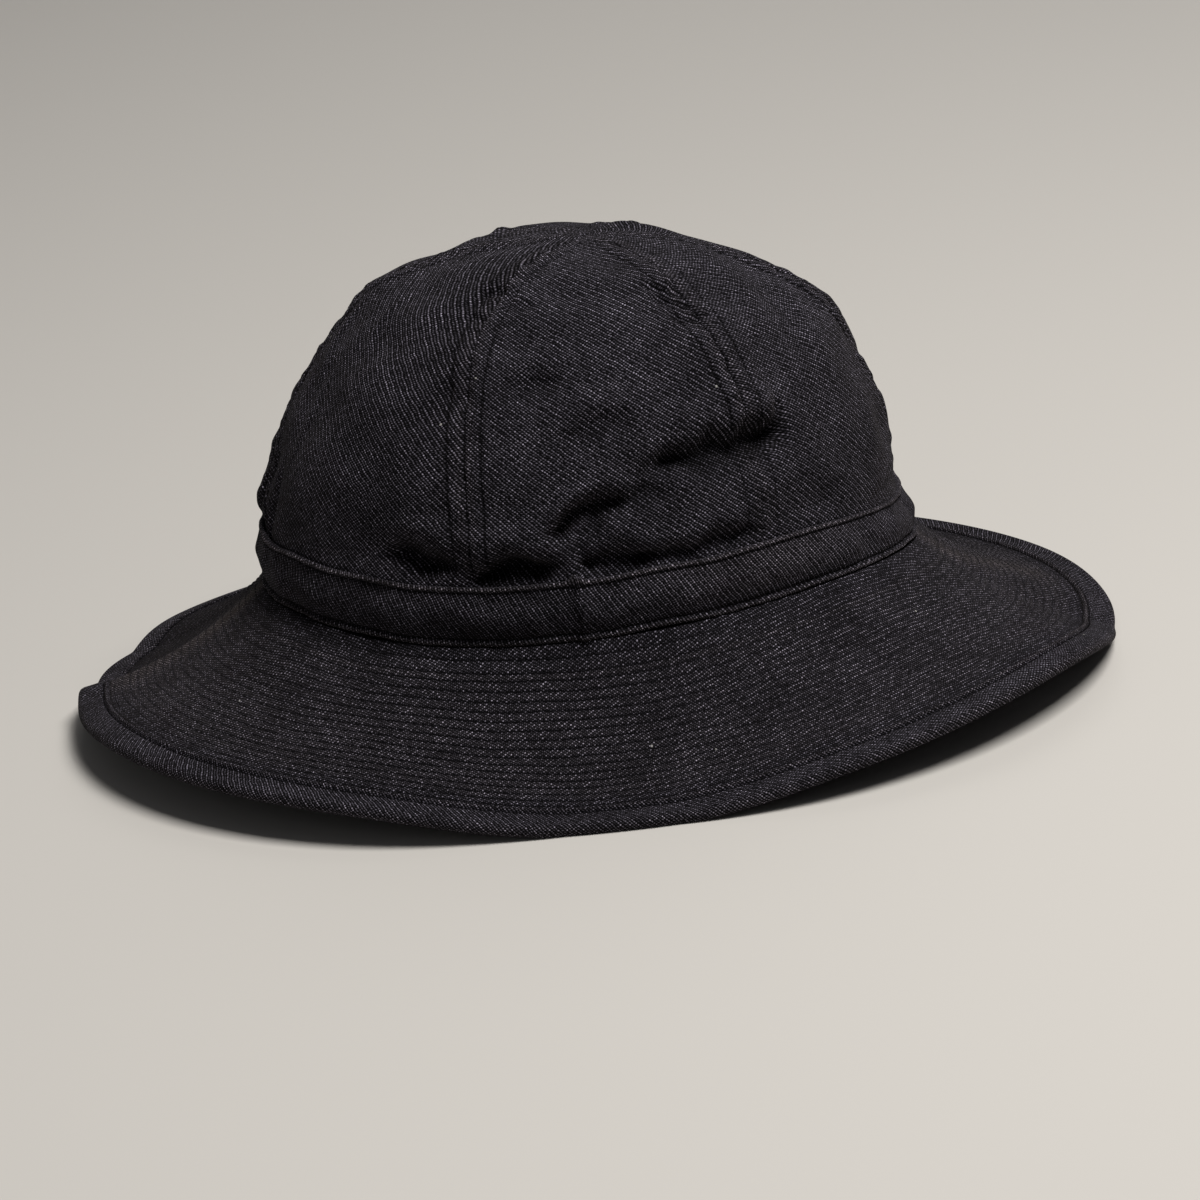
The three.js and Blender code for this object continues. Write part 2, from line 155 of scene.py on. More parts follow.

# %% [markdown]
# ## Turning arrays into cloth
#
# Every piece here is a closed loop carried along a path, so one helper serves
# them all: it takes a grid of points, joins neighbours into four-cornered faces
# and stores two things for the finish. The UV map holds *weave coordinates*: where
# each corner lay on the flat cloth, in millimetres across and along the warp.
# Two masks say where the cloth is rubbed or carries a painted highlight, and where painted shade darkens it:
# in grooves, in creases and on shaded sides.

# %% Mesh helpers
def weave_place(right, up, turn):
    """Weave coordinates of a flat place, for a warp lying `turn` degrees above the piece's level line."""
    angle = np.radians(turn)
    across = right * np.sin(angle) - up * np.cos(angle)
    along = right * np.cos(angle) + up * np.sin(angle)
    return np.stack(np.broadcast_arrays(across, along), -1)


def corners(grid):
    """The four corners of every cell of a grid of values, in order round the cell."""
    return np.stack([grid[:-1, :-1], grid[:-1, 1:], grid[1:, 1:], grid[1:, :-1]], 2)


def cell_faces(rows, loop, closed):
    """Vertex numbers of the cells between neighbouring loops; the last row joins the first if closed."""
    row = np.arange(rows + 1 if closed else rows) % rows
    number = row[:, None] * loop + (np.arange(loop + 1) % loop)[None, :]
    return corners(number[..., None])[..., 0].reshape(-1, 4)


def then_bare(mask, columns):
    """A mask for whole loops: its values on the outer face, then zeros for so many columns of the back."""
    return np.concatenate([mask, np.zeros((len(mask), columns))], 1).ravel()


def outward_facing(points, faces):
    """True if the closed shell's faces point outwards, from the sign of the volume that they enclose."""
    a, b, c, d = (points[faces[:, k]] for k in range(4))
    volume = np.einsum("ij,ij->", a, np.cross(b, c)) + np.einsum("ij,ij->", a, np.cross(c, d))
    return volume > 0


def make_piece(name, points, faces, weave, masks, replaced=()):
    """A smooth mesh object from points (mm) and face lists; `weave` has a pair for every face corner."""
    if not outward_facing(points, faces[0]):
        faces = [f[:, ::-1] for f in faces]
        weave = [w[:, ::-1] for w in weave]
    mesh = bpy.data.meshes.new(name)
    sizes = np.concatenate([np.full(len(f), f.shape[1]) for f in faces])
    starts = np.concatenate([[0], np.cumsum(sizes)[:-1]])
    mesh.vertices.add(len(points))
    mesh.loops.add(int(sizes.sum()))
    mesh.polygons.add(len(sizes))
    mesh.vertices.foreach_set("co", ((points + OVAL_MIDDLE) * MM).astype(np.float32).ravel())
    mesh.loops.foreach_set("vertex_index", np.concatenate([f.ravel() for f in faces]).astype(np.int32))
    mesh.polygons.foreach_set("loop_start", starts.astype(np.int32))
    mesh.polygons.foreach_set("use_smooth", np.ones(len(sizes), bool))
    chart = mesh.uv_layers.new(name="weave")
    chart.data.foreach_set("uv", np.concatenate([w.reshape(-1, 2) for w in weave]).astype(np.float32).ravel())
    for mask, values in masks.items():
        layer = mesh.attributes.new(mask, "FLOAT", "POINT")
        layer.data.foreach_set("value", np.broadcast_to(values, len(points)).astype(np.float32))
    mesh.update(calc_edges=True)
    if mesh.validate():
        raise RuntimeError(f"{name} has faces that Blender had to repair")
    piece = bpy.data.objects.new(name, mesh)
    bpy.context.scene.collection.objects.link(piece)
    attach(piece, "root")
    if replaced:
        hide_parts(*replaced)
    print(f"{name}: {len(points)} points, {int((sizes - 2).sum())} triangles")
    return piece


def soft_noise(points, wavelength, seed, waves=28):
    """Smooth random swelling about 0, mostly within 1 of it: a sum of plane waves in random directions."""
    chance = np.random.default_rng(seed)
    direction = chance.normal(size=(waves, 3))
    direction /= np.linalg.norm(direction, axis=1)[:, None]
    length = wavelength * chance.uniform(0.7, 1.6, waves)
    phase = chance.uniform(0, 2 * np.pi, waves)
    total = np.zeros(points.shape[:-1])
    for k in range(waves):
        total += np.sin(points @ (direction[k] * 2 * np.pi / length[k]) + phase[k])
    return total / np.sqrt(waves / 2)


def waves_of(wave, points):
    """Soft noise of one wave: its height times the noise of its size and seed."""
    return wave["height"] * soft_noise(points, wave["size"], wave["seed"])


# %% [markdown]
# ## The crown's shape
#
# A crown of six gores is almost a dome, but fuller at its shoulders and flat on
# top. A *superellipse* says that in two numbers: one power for how far the dome
# bulges outwards and one for how far it bulges upwards. The seams lean as they
# climb, and all meet a little behind the middle, because the cloth was pulled
# back when the hat was last worn.

# %% Crown sizes and its smooth face
CROWN_INSET = 2.8        # the crown's foot stands this far inside the band's face
CROWN_HEIGHT = 101.5     # from the band's foot to the apex
CROWN_SHOULDER = 2.75    # power of the bulge outwards
CROWN_CAP = 1.75         # power of the bulge upwards
CROWN_SPRING = 10.0      # height at which the dome's wall stands upright
CROWN_TOP_RATIO = 0.84   # width over length of the oval just under the apex
APEX_TOWARDS_BACK = 10.0
APEX_SHIFT_POWER = 5

CROWN_SEAMS = named_rows(   # bearings of each seam at the band and at the apex, and its bow
    "name foot crest bow",
    ("front", -172, -190, -4),
    ("left front", -112, -121, 2.2),
    ("left back", -58.5, -50, 0),
    ("back", -2, 0, 0.6),
    ("right back", 61, 60, -0.8),
    ("right front", 124, 119, 0.8),
)


def seam_bearing(seam, climb):
    """Straight from foot to crest, plus the bow, which is widest at a quarter of the climb."""
    straight = seam["foot"] + (seam["crest"] - seam["foot"]) * climb
    return straight + seam["bow"] * np.sin(np.pi * np.sqrt(climb))


def crown_sizes(climb):
    """Half length, half width, height over the band's foot and climb above it.

    The angle `turn` goes from where the wall leaves the band to a quarter turn at
    the apex. Height grows as sin(turn) to the power 2 / cap, and the half sizes
    shrink as cos(turn) to the power 2 / shoulder.
    """
    reach = CROWN_HEIGHT - CROWN_SPRING
    start = np.arcsin(((BAND_HEIGHT - CROWN_SPRING) / reach) ** (CROWN_CAP / 2))
    above = np.clip(climb, 0.0, 1.0)
    turn = start + (np.pi / 2 - start) * above
    rise = np.sin(turn) ** (2 / CROWN_CAP)
    height = np.where(climb < 0, BAND_HEIGHT * (1 + climb), CROWN_SPRING + reach * rise)
    share = (np.clip(np.cos(turn), 0, 1) / np.cos(start)) ** (2 / CROWN_SHOULDER)
    half_length = (HEAD_HALF_LENGTH - CROWN_INSET) * share
    ratio = HEAD_HALF_WIDTH / HEAD_HALF_LENGTH * (1 - rise) + CROWN_TOP_RATIO * rise
    half_width = np.minimum((HEAD_HALF_WIDTH - CROWN_INSET) * share, half_length * ratio)
    return half_length, half_width, height, above


def crown_shape(bearing, climb):
    """Smooth face of the dome: an oval at every height, shifted back as it nears the apex."""
    half_length, half_width, height, above = crown_sizes(climb)
    nx, ny = outward(bearing)
    lean = lean_in(bearing, height)
    x = half_length * np.cos(np.radians(bearing)) + APEX_TOWARDS_BACK * above ** APEX_SHIFT_POWER - nx * lean
    y = half_width * np.sin(np.radians(bearing)) - ny * lean
    z = BAND_FOOT + height + (foot_height(bearing) - BAND_FOOT) * (1 - above) ** 2
    return np.stack(np.broadcast_arrays(x, y, z), -1)


def crown_normal(bearing, climb):
    """Direction square to the dome: the cross product of a small step sideways and a small step up."""
    across = crown_shape(bearing + 0.2, climb) - crown_shape(bearing - 0.2, climb)
    upward = crown_shape(bearing, np.minimum(climb + 0.002, 0.9999)) - crown_shape(bearing, climb - 0.002)
    normal = np.cross(across, upward)
    return normal / np.linalg.norm(normal, axis=-1, keepdims=True)


# %% [markdown]
# ## Creases, hollows and bulges
#
# Worn cloth is never the smooth dome. Each row of the first table is a crease: a
# slightly bowed line from one place to another, each given as a bearing and a
# height over the band's foot. Its depth is a bell curve across the line, with its
# own width above and below: an overhanging fold is steep above its line, and a
# small roll stands over it. A crease with a negative depth is a ridge. The second
# table swells or sinks the dome round a point in space, which is how the shoulders
# got their fullness.

# %% Tables of creases and bulges
CREASE_RADIUS = 98.0     # turns a difference in bearing into millimetres
CREASE_TAPER = 0.62      # width of a crease at its two ends, as a share of its middle
ROLL = {"share": 0.26, "up": 2.1, "spread": 1.2}   # share of the depth, then shares of the width above

BEARING_STRAY = {"height": 0.7, "size": 17.0, "seed": 61}      # degrees that creases stray sideways
HEIGHT_STRAY = {"height": 0.8, "size": 13.0, "seed": 62}       # millimetres that they stray up and down

CREASES = named_rows(
    "name start end bow above below fade depth",
    ("long crease", (-70.5, 50.2), (-50.5, 49.4), -0.9, 4.6, 6.5, 6, 7.8),
    ("its upturned end", (-50, 50), (-45.5, 55), 0, 2.4, 3.5, 3, 2.2),
    ("fold that feeds it", (-80, 40), (-73.5, 50), 0, 5.5, 5.5, 5, 3.4),
    ("slanting crease", (-95.3, 34.4), (-84.5, 41.6), 1.1, 2.5, 4.8, 3.5, 6.4),
    ("its thin tail", (-84, 40), (-76, 40), 0, 1.8, 2.5, 3, 1.5),
    ("upright fold", (-90.0, 23), (-89.2, 35), 0.4, 1.7, 4.5, 3, 3.4),
    ("before the seam", (-124.5, 27.6), (-117, 25.0), -0.3, 3.4, 3.4, 4, 5.6),
    ("behind the seam", (-109.5, 22.2), (-98, 22.0), 2.6, 3.8, 5, 4, 8.4),
    ("behind the joint", (-88.5, 21.3), (-81, 21.4), 0, 4.2, 5, 4, 4.8),
    ("along the band", (-79, 21.6), (-62.5, 23.2), -0.5, 2.8, 4, 5, 3.6),
    ("beside the front seam", (-169, 20), (-167, 36), 1, 2.5, 3.5, 5, 1.5),
    ("on the front seam", (-177, 22), (-175, 42), -1, 2.2, 3, 6, 1.2),
    ("high hollow", (-103, 74), (-96, 76), 0, 3.2, 5, 5, 2.5),
    ("hollow under it", (-89, 61), (-82, 62.5), 0, 3.2, 5, 5, 2.1),
    ("hollow before the seam", (-121, 72), (-115, 73.5), 0, 3.5, 6, 5, 1.2),
    ("pucker on the seam", (-113, 92.6), (-105, 93.2), 0, 1.6, 2.6, 3, 1.1),
    ("pucker before it", (-127, 95.8), (-118, 94.6), 0.5, 1.7, 2.6, 3, 2.6),
    ("small pucker under it", (-124, 91.2), (-118, 90.6), 0, 1.4, 2.0, 2.5, 1.7),
    ("upper back pucker", (-60, 93.0), (-52.5, 91.2), 0, 1.4, 2.0, 2.5, 1.8),
    ("middle back pucker", (-60, 89.6), (-52, 87.6), 0.4, 1.5, 2.2, 2.5, 2.2),
    ("lower back pucker", (-59, 85.8), (-51.5, 84.0), 0, 1.5, 2.2, 2.5, 1.8),
    ("worn ridge", (-162, 48), (-163, 66), 0, 2.4, 2.4, 6, -0.8),
    ("upper worn ridge", (-168, 71), (-175, 85), 1, 2.2, 2.2, 5, -0.7),
    ("short worn ridge", (-153, 82), (-160, 91), 0, 2, 2, 4, -0.6),
    ("front hollow", (146, 42), (168, 50), 0, 7, 12, 10, 2.2),
    ("right crease", (98, 54), (118, 61), 2, 4, 9, 6, 4.2),
    ("right hollow", (78, 42), (100, 37), 0, 6, 11, 12, 2.4),
    ("back crease", (18, 54), (40, 58), 1, 5, 10, 8, 3.0),
    ("back pucker", (6, 23), (20, 24), 2, 4.5, 4, 4, 3.2),
    ("right pucker", (50, 22), (63, 21), 3, 4.5, 4, 4, 3.6),
    ("right front pucker", (118, 21), (131, 24), 2, 4.5, 4, 4, 3.4),
)

BULGES = named_rows(
    "name place reach push",
    ("front shoulder", (-54, 18, 88), (24, 26, 14), 3.0),
    ("back shoulder", (81, 7, 68), (13, 26, 13), 4.8),
    ("hollow behind the apex", (44, 16, 94), (22, 28, 14), -2.8),
    ("apex", (2, 10, 101), (13, 14, 9), 1.1),
    ("back over the band", (96, -4, 38), (12, 26, 16), 1.4),
    ("front seam over the band", (-101, -2, 27), (12, 12, 6), 2.4),
    ("beside the left front seam", (-54, -66, 42), (11, 11, 13), 1.4),
    ("between the creases", (19, -80, 39), (13, 12, 6), 1.2),
    ("under the left back seam", (52, -64, 38), (14, 12, 9), 1.0),
)
print(len(CREASES), "creases and", len(BULGES), "bulges")


# %% Shape of worn cloth
def crease_depth(crease, bearing, height):
    """How far one crease draws the cloth in at each place.

    `along` runs from its start to its end and `aside` is the distance over the bowed
    line. Depth is: depth times end fade times (bell curve of aside less the roll).
    The crease narrows towards both ends.
    """
    (b0, h0), (b1, h1) = crease["start"], crease["end"]
    side = np.radians(bearing_between(bearing, b0)) * CREASE_RADIUS
    reach, climb = np.radians(b1 - b0) * CREASE_RADIUS, h1 - h0
    length = np.hypot(reach, climb)
    along = (side * reach + (height - h0) * climb) / length
    aside = ((height - h0) * reach - side * climb) / length
    share = np.clip(along / length, 0, 1)
    middle = 4 * share * (1 - share)
    aside = aside - crease["bow"] * middle
    past = np.maximum(np.maximum(-along, along - length), 0)
    width = np.where(aside > 0, crease["above"], crease["below"])
    width = width * (CREASE_TAPER + (1 - CREASE_TAPER) * np.sqrt(middle))
    roll = ROLL["share"] * bell(aside - ROLL["up"] * crease["above"], ROLL["spread"] * crease["above"])
    return crease["depth"] * bell(past, crease["fade"]) * (bell(aside, width) - roll)


def worn_shape(bearing, height, place):
    """Outward push of all bulges less the depth of all creases, and that depth by itself.

    A little noise moves the places about first, so no crease is ruler-straight, and
    the push is held back where the band covers the cloth.
    """
    creased = (bearing + waves_of(BEARING_STRAY, place), height + waves_of(HEIGHT_STRAY, place))
    drawn_in = sum(crease_depth(crease, *creased) for crease in CREASES)
    pushed = 0.0
    for bulge in BULGES:
        away = (place - [0, 0, BAND_FOOT] - bulge["place"]) / bulge["reach"]
        pushed = pushed + bulge["push"] * np.exp(-(away * away).sum(-1))
    lift = pushed - drawn_in
    over, behind = step_up(height, BAND_HEIGHT, BAND_HEIGHT + 5), step_up(height, 12, 18)
    return np.where(lift > 0, lift * over, lift * behind), drawn_in


# %% [markdown]
# ## The crown's panels
#
# Two neighbouring gores are sewn together inside out, their seam allowances are
# pressed open and each is topstitched down from outside. That leaves a fine
# valley on the seam, a slightly raised strip on both sides of it and a line of
# stitches in a shallow groove at the strip's edge. All of that depends only on
# the distance from the seam, so the columns of each panel's grid are set at fixed
# distances from its two seams and packed closely there.

# %% Distances across a panel
TOPSTITCH = 5.2          # from the seam to its topstitching
EDGE_STEPS = np.array([0.04, 0.22, 0.45, 0.8, 1.3, 2.1, 3.1, 4.0, 4.5, 4.85, 5.2, 5.55, 5.9, 6.4, 7.2])
MIDDLE_COLUMNS = 61      # odd, so that the whole row has a middle column
NARROW = 9.0             # half width under which the stitching converges


def panel_row(index, climb):
    """For each climb: the bearings of a panel's two seams and its width along the cloth."""
    near, far = CROWN_SEAMS[index], CROWN_SEAMS[(index + 1) % len(CROWN_SEAMS)]
    above = np.clip(climb, 0, 1)
    left, right = seam_bearing(near, above), seam_bearing(far, above)
    span = (right - left) % 360.0
    share = np.linspace(0, 1, 25)
    row = crown_shape(left[:, None] + span[:, None] * share, climb[:, None])
    width = np.linalg.norm(np.diff(row, axis=1), axis=2).sum(1)
    return left, span, width


def columns_across(width):
    """Distances of all the columns from the left seam: packed by the seams, even between them."""
    squeeze = np.minimum(1.0, width / 2 / NARROW)
    near = EDGE_STEPS[None, :] * squeeze[:, None]
    between = np.linspace(0, 1, MIDDLE_COLUMNS + 2)[None, 1:-1]
    middle = near[:, -1:] + (width[:, None] - 2 * near[:, -1:]) * between
    return np.concatenate([near, middle, width[:, None] - near[:, ::-1]], 1), squeeze


# %% Relief of a panel
SEAM_STRIP = 0.26        # how far the strip beside a seam stands up
STRIP_EDGE = 1.5         # width over which it falls to the single cloth
STITCH_SINK = 0.50       # depth of the groove under the topstitching
SEAM_SINK = 0.45         # depth of the valley on the seam itself
SINK_SPREAD = 0.45
PUCKER = {"height": 0.36, "size": 6.0, "seed": 11}
SLOW_WAVES = named_rows("height size seed", (0.50, 46.0, 5), (0.38, 20.0, 8))
GORE_FLATNESS = 0.018    # sink of a gore's middle, as a share of the crown's half length
WORN_TOP = 0.45          # share of the seam's relief that has worn off near the apex
PULLED_SEAM = {"bearing": -58, "spread": 14, "height": 26, "reach": 20, "share": 0.55}


def crown_patch(patch, bearing, height):
    """A soft oval spot on the crown: its share, times a bell of the bearing, times a bell of the height."""
    round_it = bell(bearing_between(bearing, patch["bearing"]), patch["spread"])
    return patch["share"] * round_it * bell(height - patch["height"], patch["reach"])


def seam_relief(distance, squeeze):
    """Height of the cloth near a seam, from the distance to it: raised strip, stitch groove, valley."""
    stitch = TOPSTITCH * squeeze
    strip = SEAM_STRIP * (1 - step_up(distance, stitch, (TOPSTITCH + STRIP_EDGE) * squeeze))
    groove = STITCH_SINK * bell(distance - stitch, SINK_SPREAD * squeeze)
    return strip - groove - SEAM_SINK * bell(distance, SINK_SPREAD * squeeze)


# %% Masks of a panel
STITCH_SHADE = {"spread": 0.50, "share": 1.0}
SEAM_SHADE = {"spread": 0.35, "share": 0.8}
# painted shade in the depths of creases, the deeper the darker
FOLD_SHADES = named_rows("share shallow deep", (0.32, 0.3, 1.8), (0.50, 1.8, 6.5))
# painted shade on the crown's flank between the back and the wearer's left
SHADED_FLANK = {"bearing": -30, "spread": 17, "height": 30, "reach": 26, "share": 0.20}
RUBBED_LINE = {"from_seam": 1.6, "spread": 0.9, "share": 0.35}


def panel_masks(bearing, height, drawn_in, nearest, pinch, shown, pressed):
    """Painted shade for the groove mask: the seams, the depths of creases and a flank of the crown. Rubbing
    mask: a line by each seam.
    """
    stitch = STITCH_SHADE["share"] * bell(nearest - TOPSTITCH * pinch, STITCH_SHADE["spread"] * pinch)
    seam = SEAM_SHADE["share"] * bell(nearest, SEAM_SHADE["spread"] * pinch)
    fold = sum(row["share"] * step_up(drawn_in, row["shallow"], row["deep"]) for row in FOLD_SHADES)
    flank = crown_patch(SHADED_FLANK, bearing, height)
    groove = np.maximum(np.maximum(stitch, seam) * shown * pressed, fold + flank)
    rubbed = RUBBED_LINE["share"] * bell(nearest - RUBBED_LINE["from_seam"], RUBBED_LINE["spread"])
    return groove, rubbed * shown


# %% Outer face of a panel
def panel_face(index, climb, from_left, squeeze, proud=0.0):
    """A panel's outer face, the directions square to the dome, and its two masks.

    `climb` and `squeeze` have one value for each row and `from_left` a distance for
    each point. The face is the dome plus its normal times: seam relief, pucker
    beside the seams and slow waves, less the flatness of the gore, plus all that the
    creases and bulges do. `pressed` is the share of a seam's relief that is left.
    """
    left, span, width = panel_row(index, climb)
    width, pinch, rows = width[:, None], squeeze[:, None], climb[:, None]
    share = from_left / width
    bearing = left[:, None] + span[:, None] * share
    base, normal = crown_shape(bearing, rows), crown_normal(bearing, rows)
    half_length, _, height, above = crown_sizes(rows)
    nearest = np.minimum(from_left, width - from_left)
    shown = step_up(above, 0.0, 0.05)
    room = step_up(width, 3.0, 26.0)
    seam = seam_relief(from_left, pinch) + seam_relief(width - from_left, pinch)
    pressed = (1 - WORN_TOP * step_up(above, 0.45, 0.8)) * (1 - crown_patch(PULLED_SEAM, bearing, height))
    puckers = waves_of(PUCKER, base) * bell(nearest, PUCKER["size"])
    waves = puckers + sum(waves_of(wave, base) for wave in SLOW_WAVES)
    flat = GORE_FLATNESS * half_length * np.sin(np.pi * share) * np.minimum(1, 2 * above)
    worn, drawn_in = worn_shape(bearing, height, base)
    lift = shown * (seam * pressed * np.maximum(room, 0.25) + room * waves - flat) + worn
    points = base + normal * (lift[..., None] + proud)
    return points, normal, *panel_masks(bearing, height, drawn_in, nearest, pinch, shown, pressed)


# %% Make the six panels
PANEL_ROWS = 134
PANEL_GRAIN = [-4, -2, -6, 0, 5, -5]  # degrees the warp lies above level on each panel
CROWN_CLOTH = 1.0
SEAM_ALLOWANCE = 0.55    # extra thickness where the seam allowance lies inside
TUCKED_IN = [-1.0, -0.6, -0.3, -0.08]   # climbs of the rows that the band hides


def crown_climbs(rows):
    """Climbs evenly spaced along the cloth from the band to the apex, found on the left side."""
    fine = np.linspace(0.0, 1.0, 2000)
    run = run_along(crown_shape(-90.0, fine))
    return np.interp(np.linspace(0.0, run[-1] - 0.12, rows), run, fine)


climbs = np.concatenate([TUCKED_IN, crown_climbs(PANEL_ROWS)])


def panel_thickness(from_left, width, squeeze):
    """Thickness at each point: one cloth, more over the seam allowances, and less at the crowded apex."""
    nearest = np.minimum(from_left, width - from_left)
    strip = 1 - step_up(nearest, TOPSTITCH * squeeze, (TOPSTITCH + 0.8) * squeeze)
    return np.minimum(CROWN_CLOTH + SEAM_ALLOWANCE * strip, np.maximum(width * 0.35, 0.25))


def crown_panel(index):
    """One gore: its outer face, an inner face one cloth thickness inside it, and closed edges."""
    _, _, width = panel_row(index, climbs)
    from_left, squeeze = columns_across(width)
    outer, normal, groove, rubbed = panel_face(index, climbs, from_left, squeeze)
    count = from_left.shape[1]
    pick = np.arange(0, count, 2)
    thick = panel_thickness(from_left, width[:, None], squeeze[:, None])
    inner = (outer - normal * thick[..., None])[:, pick]
    points = np.concatenate([outer, inner[:, ::-1]], 1)
    rows, loop = points.shape[:2]
    run = run_along(crown_shape(-90.0, climbs))
    flat = weave_place(from_left - width[:, None] / 2, run[:, None], PANEL_GRAIN[index])
    weave = np.concatenate([flat, flat[:, pick][:, ::-1], flat[:, :1]], 1)
    sides = cell_faces(rows, loop, closed=False)
    first = np.arange(0, count - 2, 2)
    back = loop - 1 - np.arange(len(first))
    cap = np.stack([first, first + 1, first + 2, back - 1, back], 1)
    caps = [cap[:, ::-1], cap + (rows - 1) * loop]
    cap_weave = [weave.reshape(-1, 2)[c % loop] for c in caps]
    return make_piece(
        f"crown_panel_{index + 1}",
        points.reshape(-1, 3),
        [sides, *caps],
        [corners(weave).reshape(-1, 4, 2), *cap_weave],
        {"groove": then_bare(groove, len(pick)), "wear_and_light": then_bare(rubbed, len(pick))},
        [f"crown_panel_{index + 1}"],
    )


panels = [crown_panel(index) for index in range(len(CROWN_SEAMS))]

# %% [markdown]
# ## The band
#
# A strip of the same cloth, folded in at both edges and sewn down all round, one
# line of stitches close to each edge. Between the lines it puffs out a little;
# outside them the folded edge stands up as a thin roll. The two ends meet on the
# wearer's left, where the doubled cloth makes a small upright ridge and the corner
# of the fold peeks over the top edge.

# %% Band section
BAND_LEAN = 1.0
BAND_WALL = 1.5
BAND_STITCH = {"low": 2.3, "high": 1.7}   # from each edge to its stitching
BAND_PUFF = 1.3
PUFF_EDGE = 7.0          # width over which the puffed body rises from each stitch line
JOINT_BEARING = -92.5
BAND_STATIONS = 900
BAND_GRAIN = -19         # degrees the warp lies above level

BAND_LINES = named_rows(   # bell curves across the strip, each measured from its own edge
    "edge at spread rise",
    ("low", BAND_STITCH["low"], 0.65, -0.75),
    ("high", BAND_STITCH["high"], 0.42, -0.40),
    ("low", 1.05, 0.75, 0.50),
    ("high", 0.7, 0.5, 0.30),
    ("low", 0, 0.40, -0.60),
    ("high", 0, 0.35, -0.60),
)
JOINT_LINES = named_rows("at spread rise", (0.6, 2.1, 1.1), (-4.0, 2.6, -0.5), (5.5, 2.6, -0.4))
JOINT_TAB = {"at": -0.8, "spread": 2.1, "power": 1.6, "rise": 2.0, "out": 0.35}
BODY_WAVES = {"height": 0.36, "size": 15.0, "seed": 21}
FINE_WAVES = {"height": 0.12, "size": 6.0, "seed": 22}
SEWN_WANDER = {"height": 0.28, "size": 34.0, "seed": 23}   # how far the strip was sewn up or down


def lines_across(lines, low, high=0.0):
    """Sum of bell curves, each of the distance from its own edge; `low` and `high` are those distances."""
    edges = {"low": low, "high": high}
    return sum(line["rise"] * bell(edges[line["edge"]] - line["at"], line["spread"]) for line in lines)


def band_relief(up):
    """Height over the strip's flat face: a puffed body, rolled and turned edges, and stitch grooves."""
    down = BAND_HEIGHT - up
    low, high = BAND_STITCH["low"], BAND_STITCH["high"]
    body = step_up(up, low, low + PUFF_EDGE) * step_up(down, high, high + PUFF_EDGE)
    return BAND_PUFF * body + lines_across(BAND_LINES, up, down)


def band_face(bearing, up, proud=0.0):
    """Outer face of the band at a height `up` its strip, with creases and the ridge of the joint."""
    rise = up * (1 - swell(BAND_SLUMP, bearing) / BAND_HEIGHT)
    base = beside(bearing, -BAND_LEAN * up / BAND_HEIGHT - lean_in(bearing, up), foot_height(bearing) + rise)
    middle = np.sin(np.pi * np.clip(up / BAND_HEIGHT, 0, 1))
    away = np.radians(bearing_between(bearing, JOINT_BEARING)) * HEAD_HALF_LENGTH
    crest, *hollows = [line["rise"] * bell(away - line["at"], line["spread"]) for line in JOINT_LINES]
    ridge = crest * step_up(away, -3.2, 0.4) + sum(hollows) * middle
    tab = np.exp(-(np.abs(away - JOINT_TAB["at"]) / JOINT_TAB["spread"]) ** JOINT_TAB["power"])
    tab = JOINT_TAB["rise"] * tab * step_up(up, BAND_HEIGHT - 2.0, BAND_HEIGHT)
    waves = waves_of(BODY_WAVES, base) * middle + waves_of(FINE_WAVES, base)
    wander = waves_of(SEWN_WANDER, base * [1, 1, 0])
    out = band_relief(up) + ridge + waves + proud + JOINT_TAB["out"] * tab
    nx, ny = outward(bearing)
    return base + np.stack(np.broadcast_arrays(nx * out, ny * out, wander + tab), -1)


# %% Masks of the band
BAND_SHADE_LINES = named_rows(
    "edge at spread rise", ("low", BAND_STITCH["low"], 0.6, 0.9), ("high", BAND_STITCH["high"], 0.45, 0.8))
BAND_RUB_LINES = named_rows("edge at spread rise", ("low", 0.9, 0.6, 1.0), ("high", 0.5, 0.4, 1.0))
# painted shade on the band round the wearer's left, deepest near its foot, and a painted pool of light on the
# band further back
SHADED_SIDE = {"bearing": -104, "spread": 22, "rise": 0.28}
SHADED_FOOT = {"bearing": -104, "spread": 26, "rise": 0.34}
LIT_SIDE = {"bearing": -58, "spread": 20, "rise": 0.45}


def band_masks(bearing, up):
    """Painted shade for the groove mask: stitch lines, and a side with its foot. Rubbing mask: the two worn
    edges, and a painted pool of light on a side further back.
    """
    down = BAND_HEIGHT - up
    # painted shade on that side of the band and at its foot
    dark = swell(SHADED_FOOT, bearing) * (1 - step_up(up, 2.5, 11)) + swell(SHADED_SIDE, bearing)
    groove = np.maximum(lines_across(BAND_SHADE_LINES, up, down), dark)
    wear_and_light = np.maximum(lines_across(BAND_RUB_LINES, up, down), swell(LIT_SIDE, bearing) * step_up(up, 3, 6))
    return groove, wear_and_light


# %% Make the band
LOW_STEPS = [0, 0.18, 0.42, 0.75, 1.1, 1.45, 1.75, 2.0, 2.3, 2.6, 3.0, 3.6, 4.5, 5.6]   # grid from the foot
HIGH_STEPS = [0, 0.16, 0.36, 0.6, 0.85, 1.1, 1.3, 1.5, 1.7, 1.9, 2.2, 2.8, 3.8, 5.2]    # grid from the top
BACK_INSET = 0.1         # the strip's back stops this far short of its edges


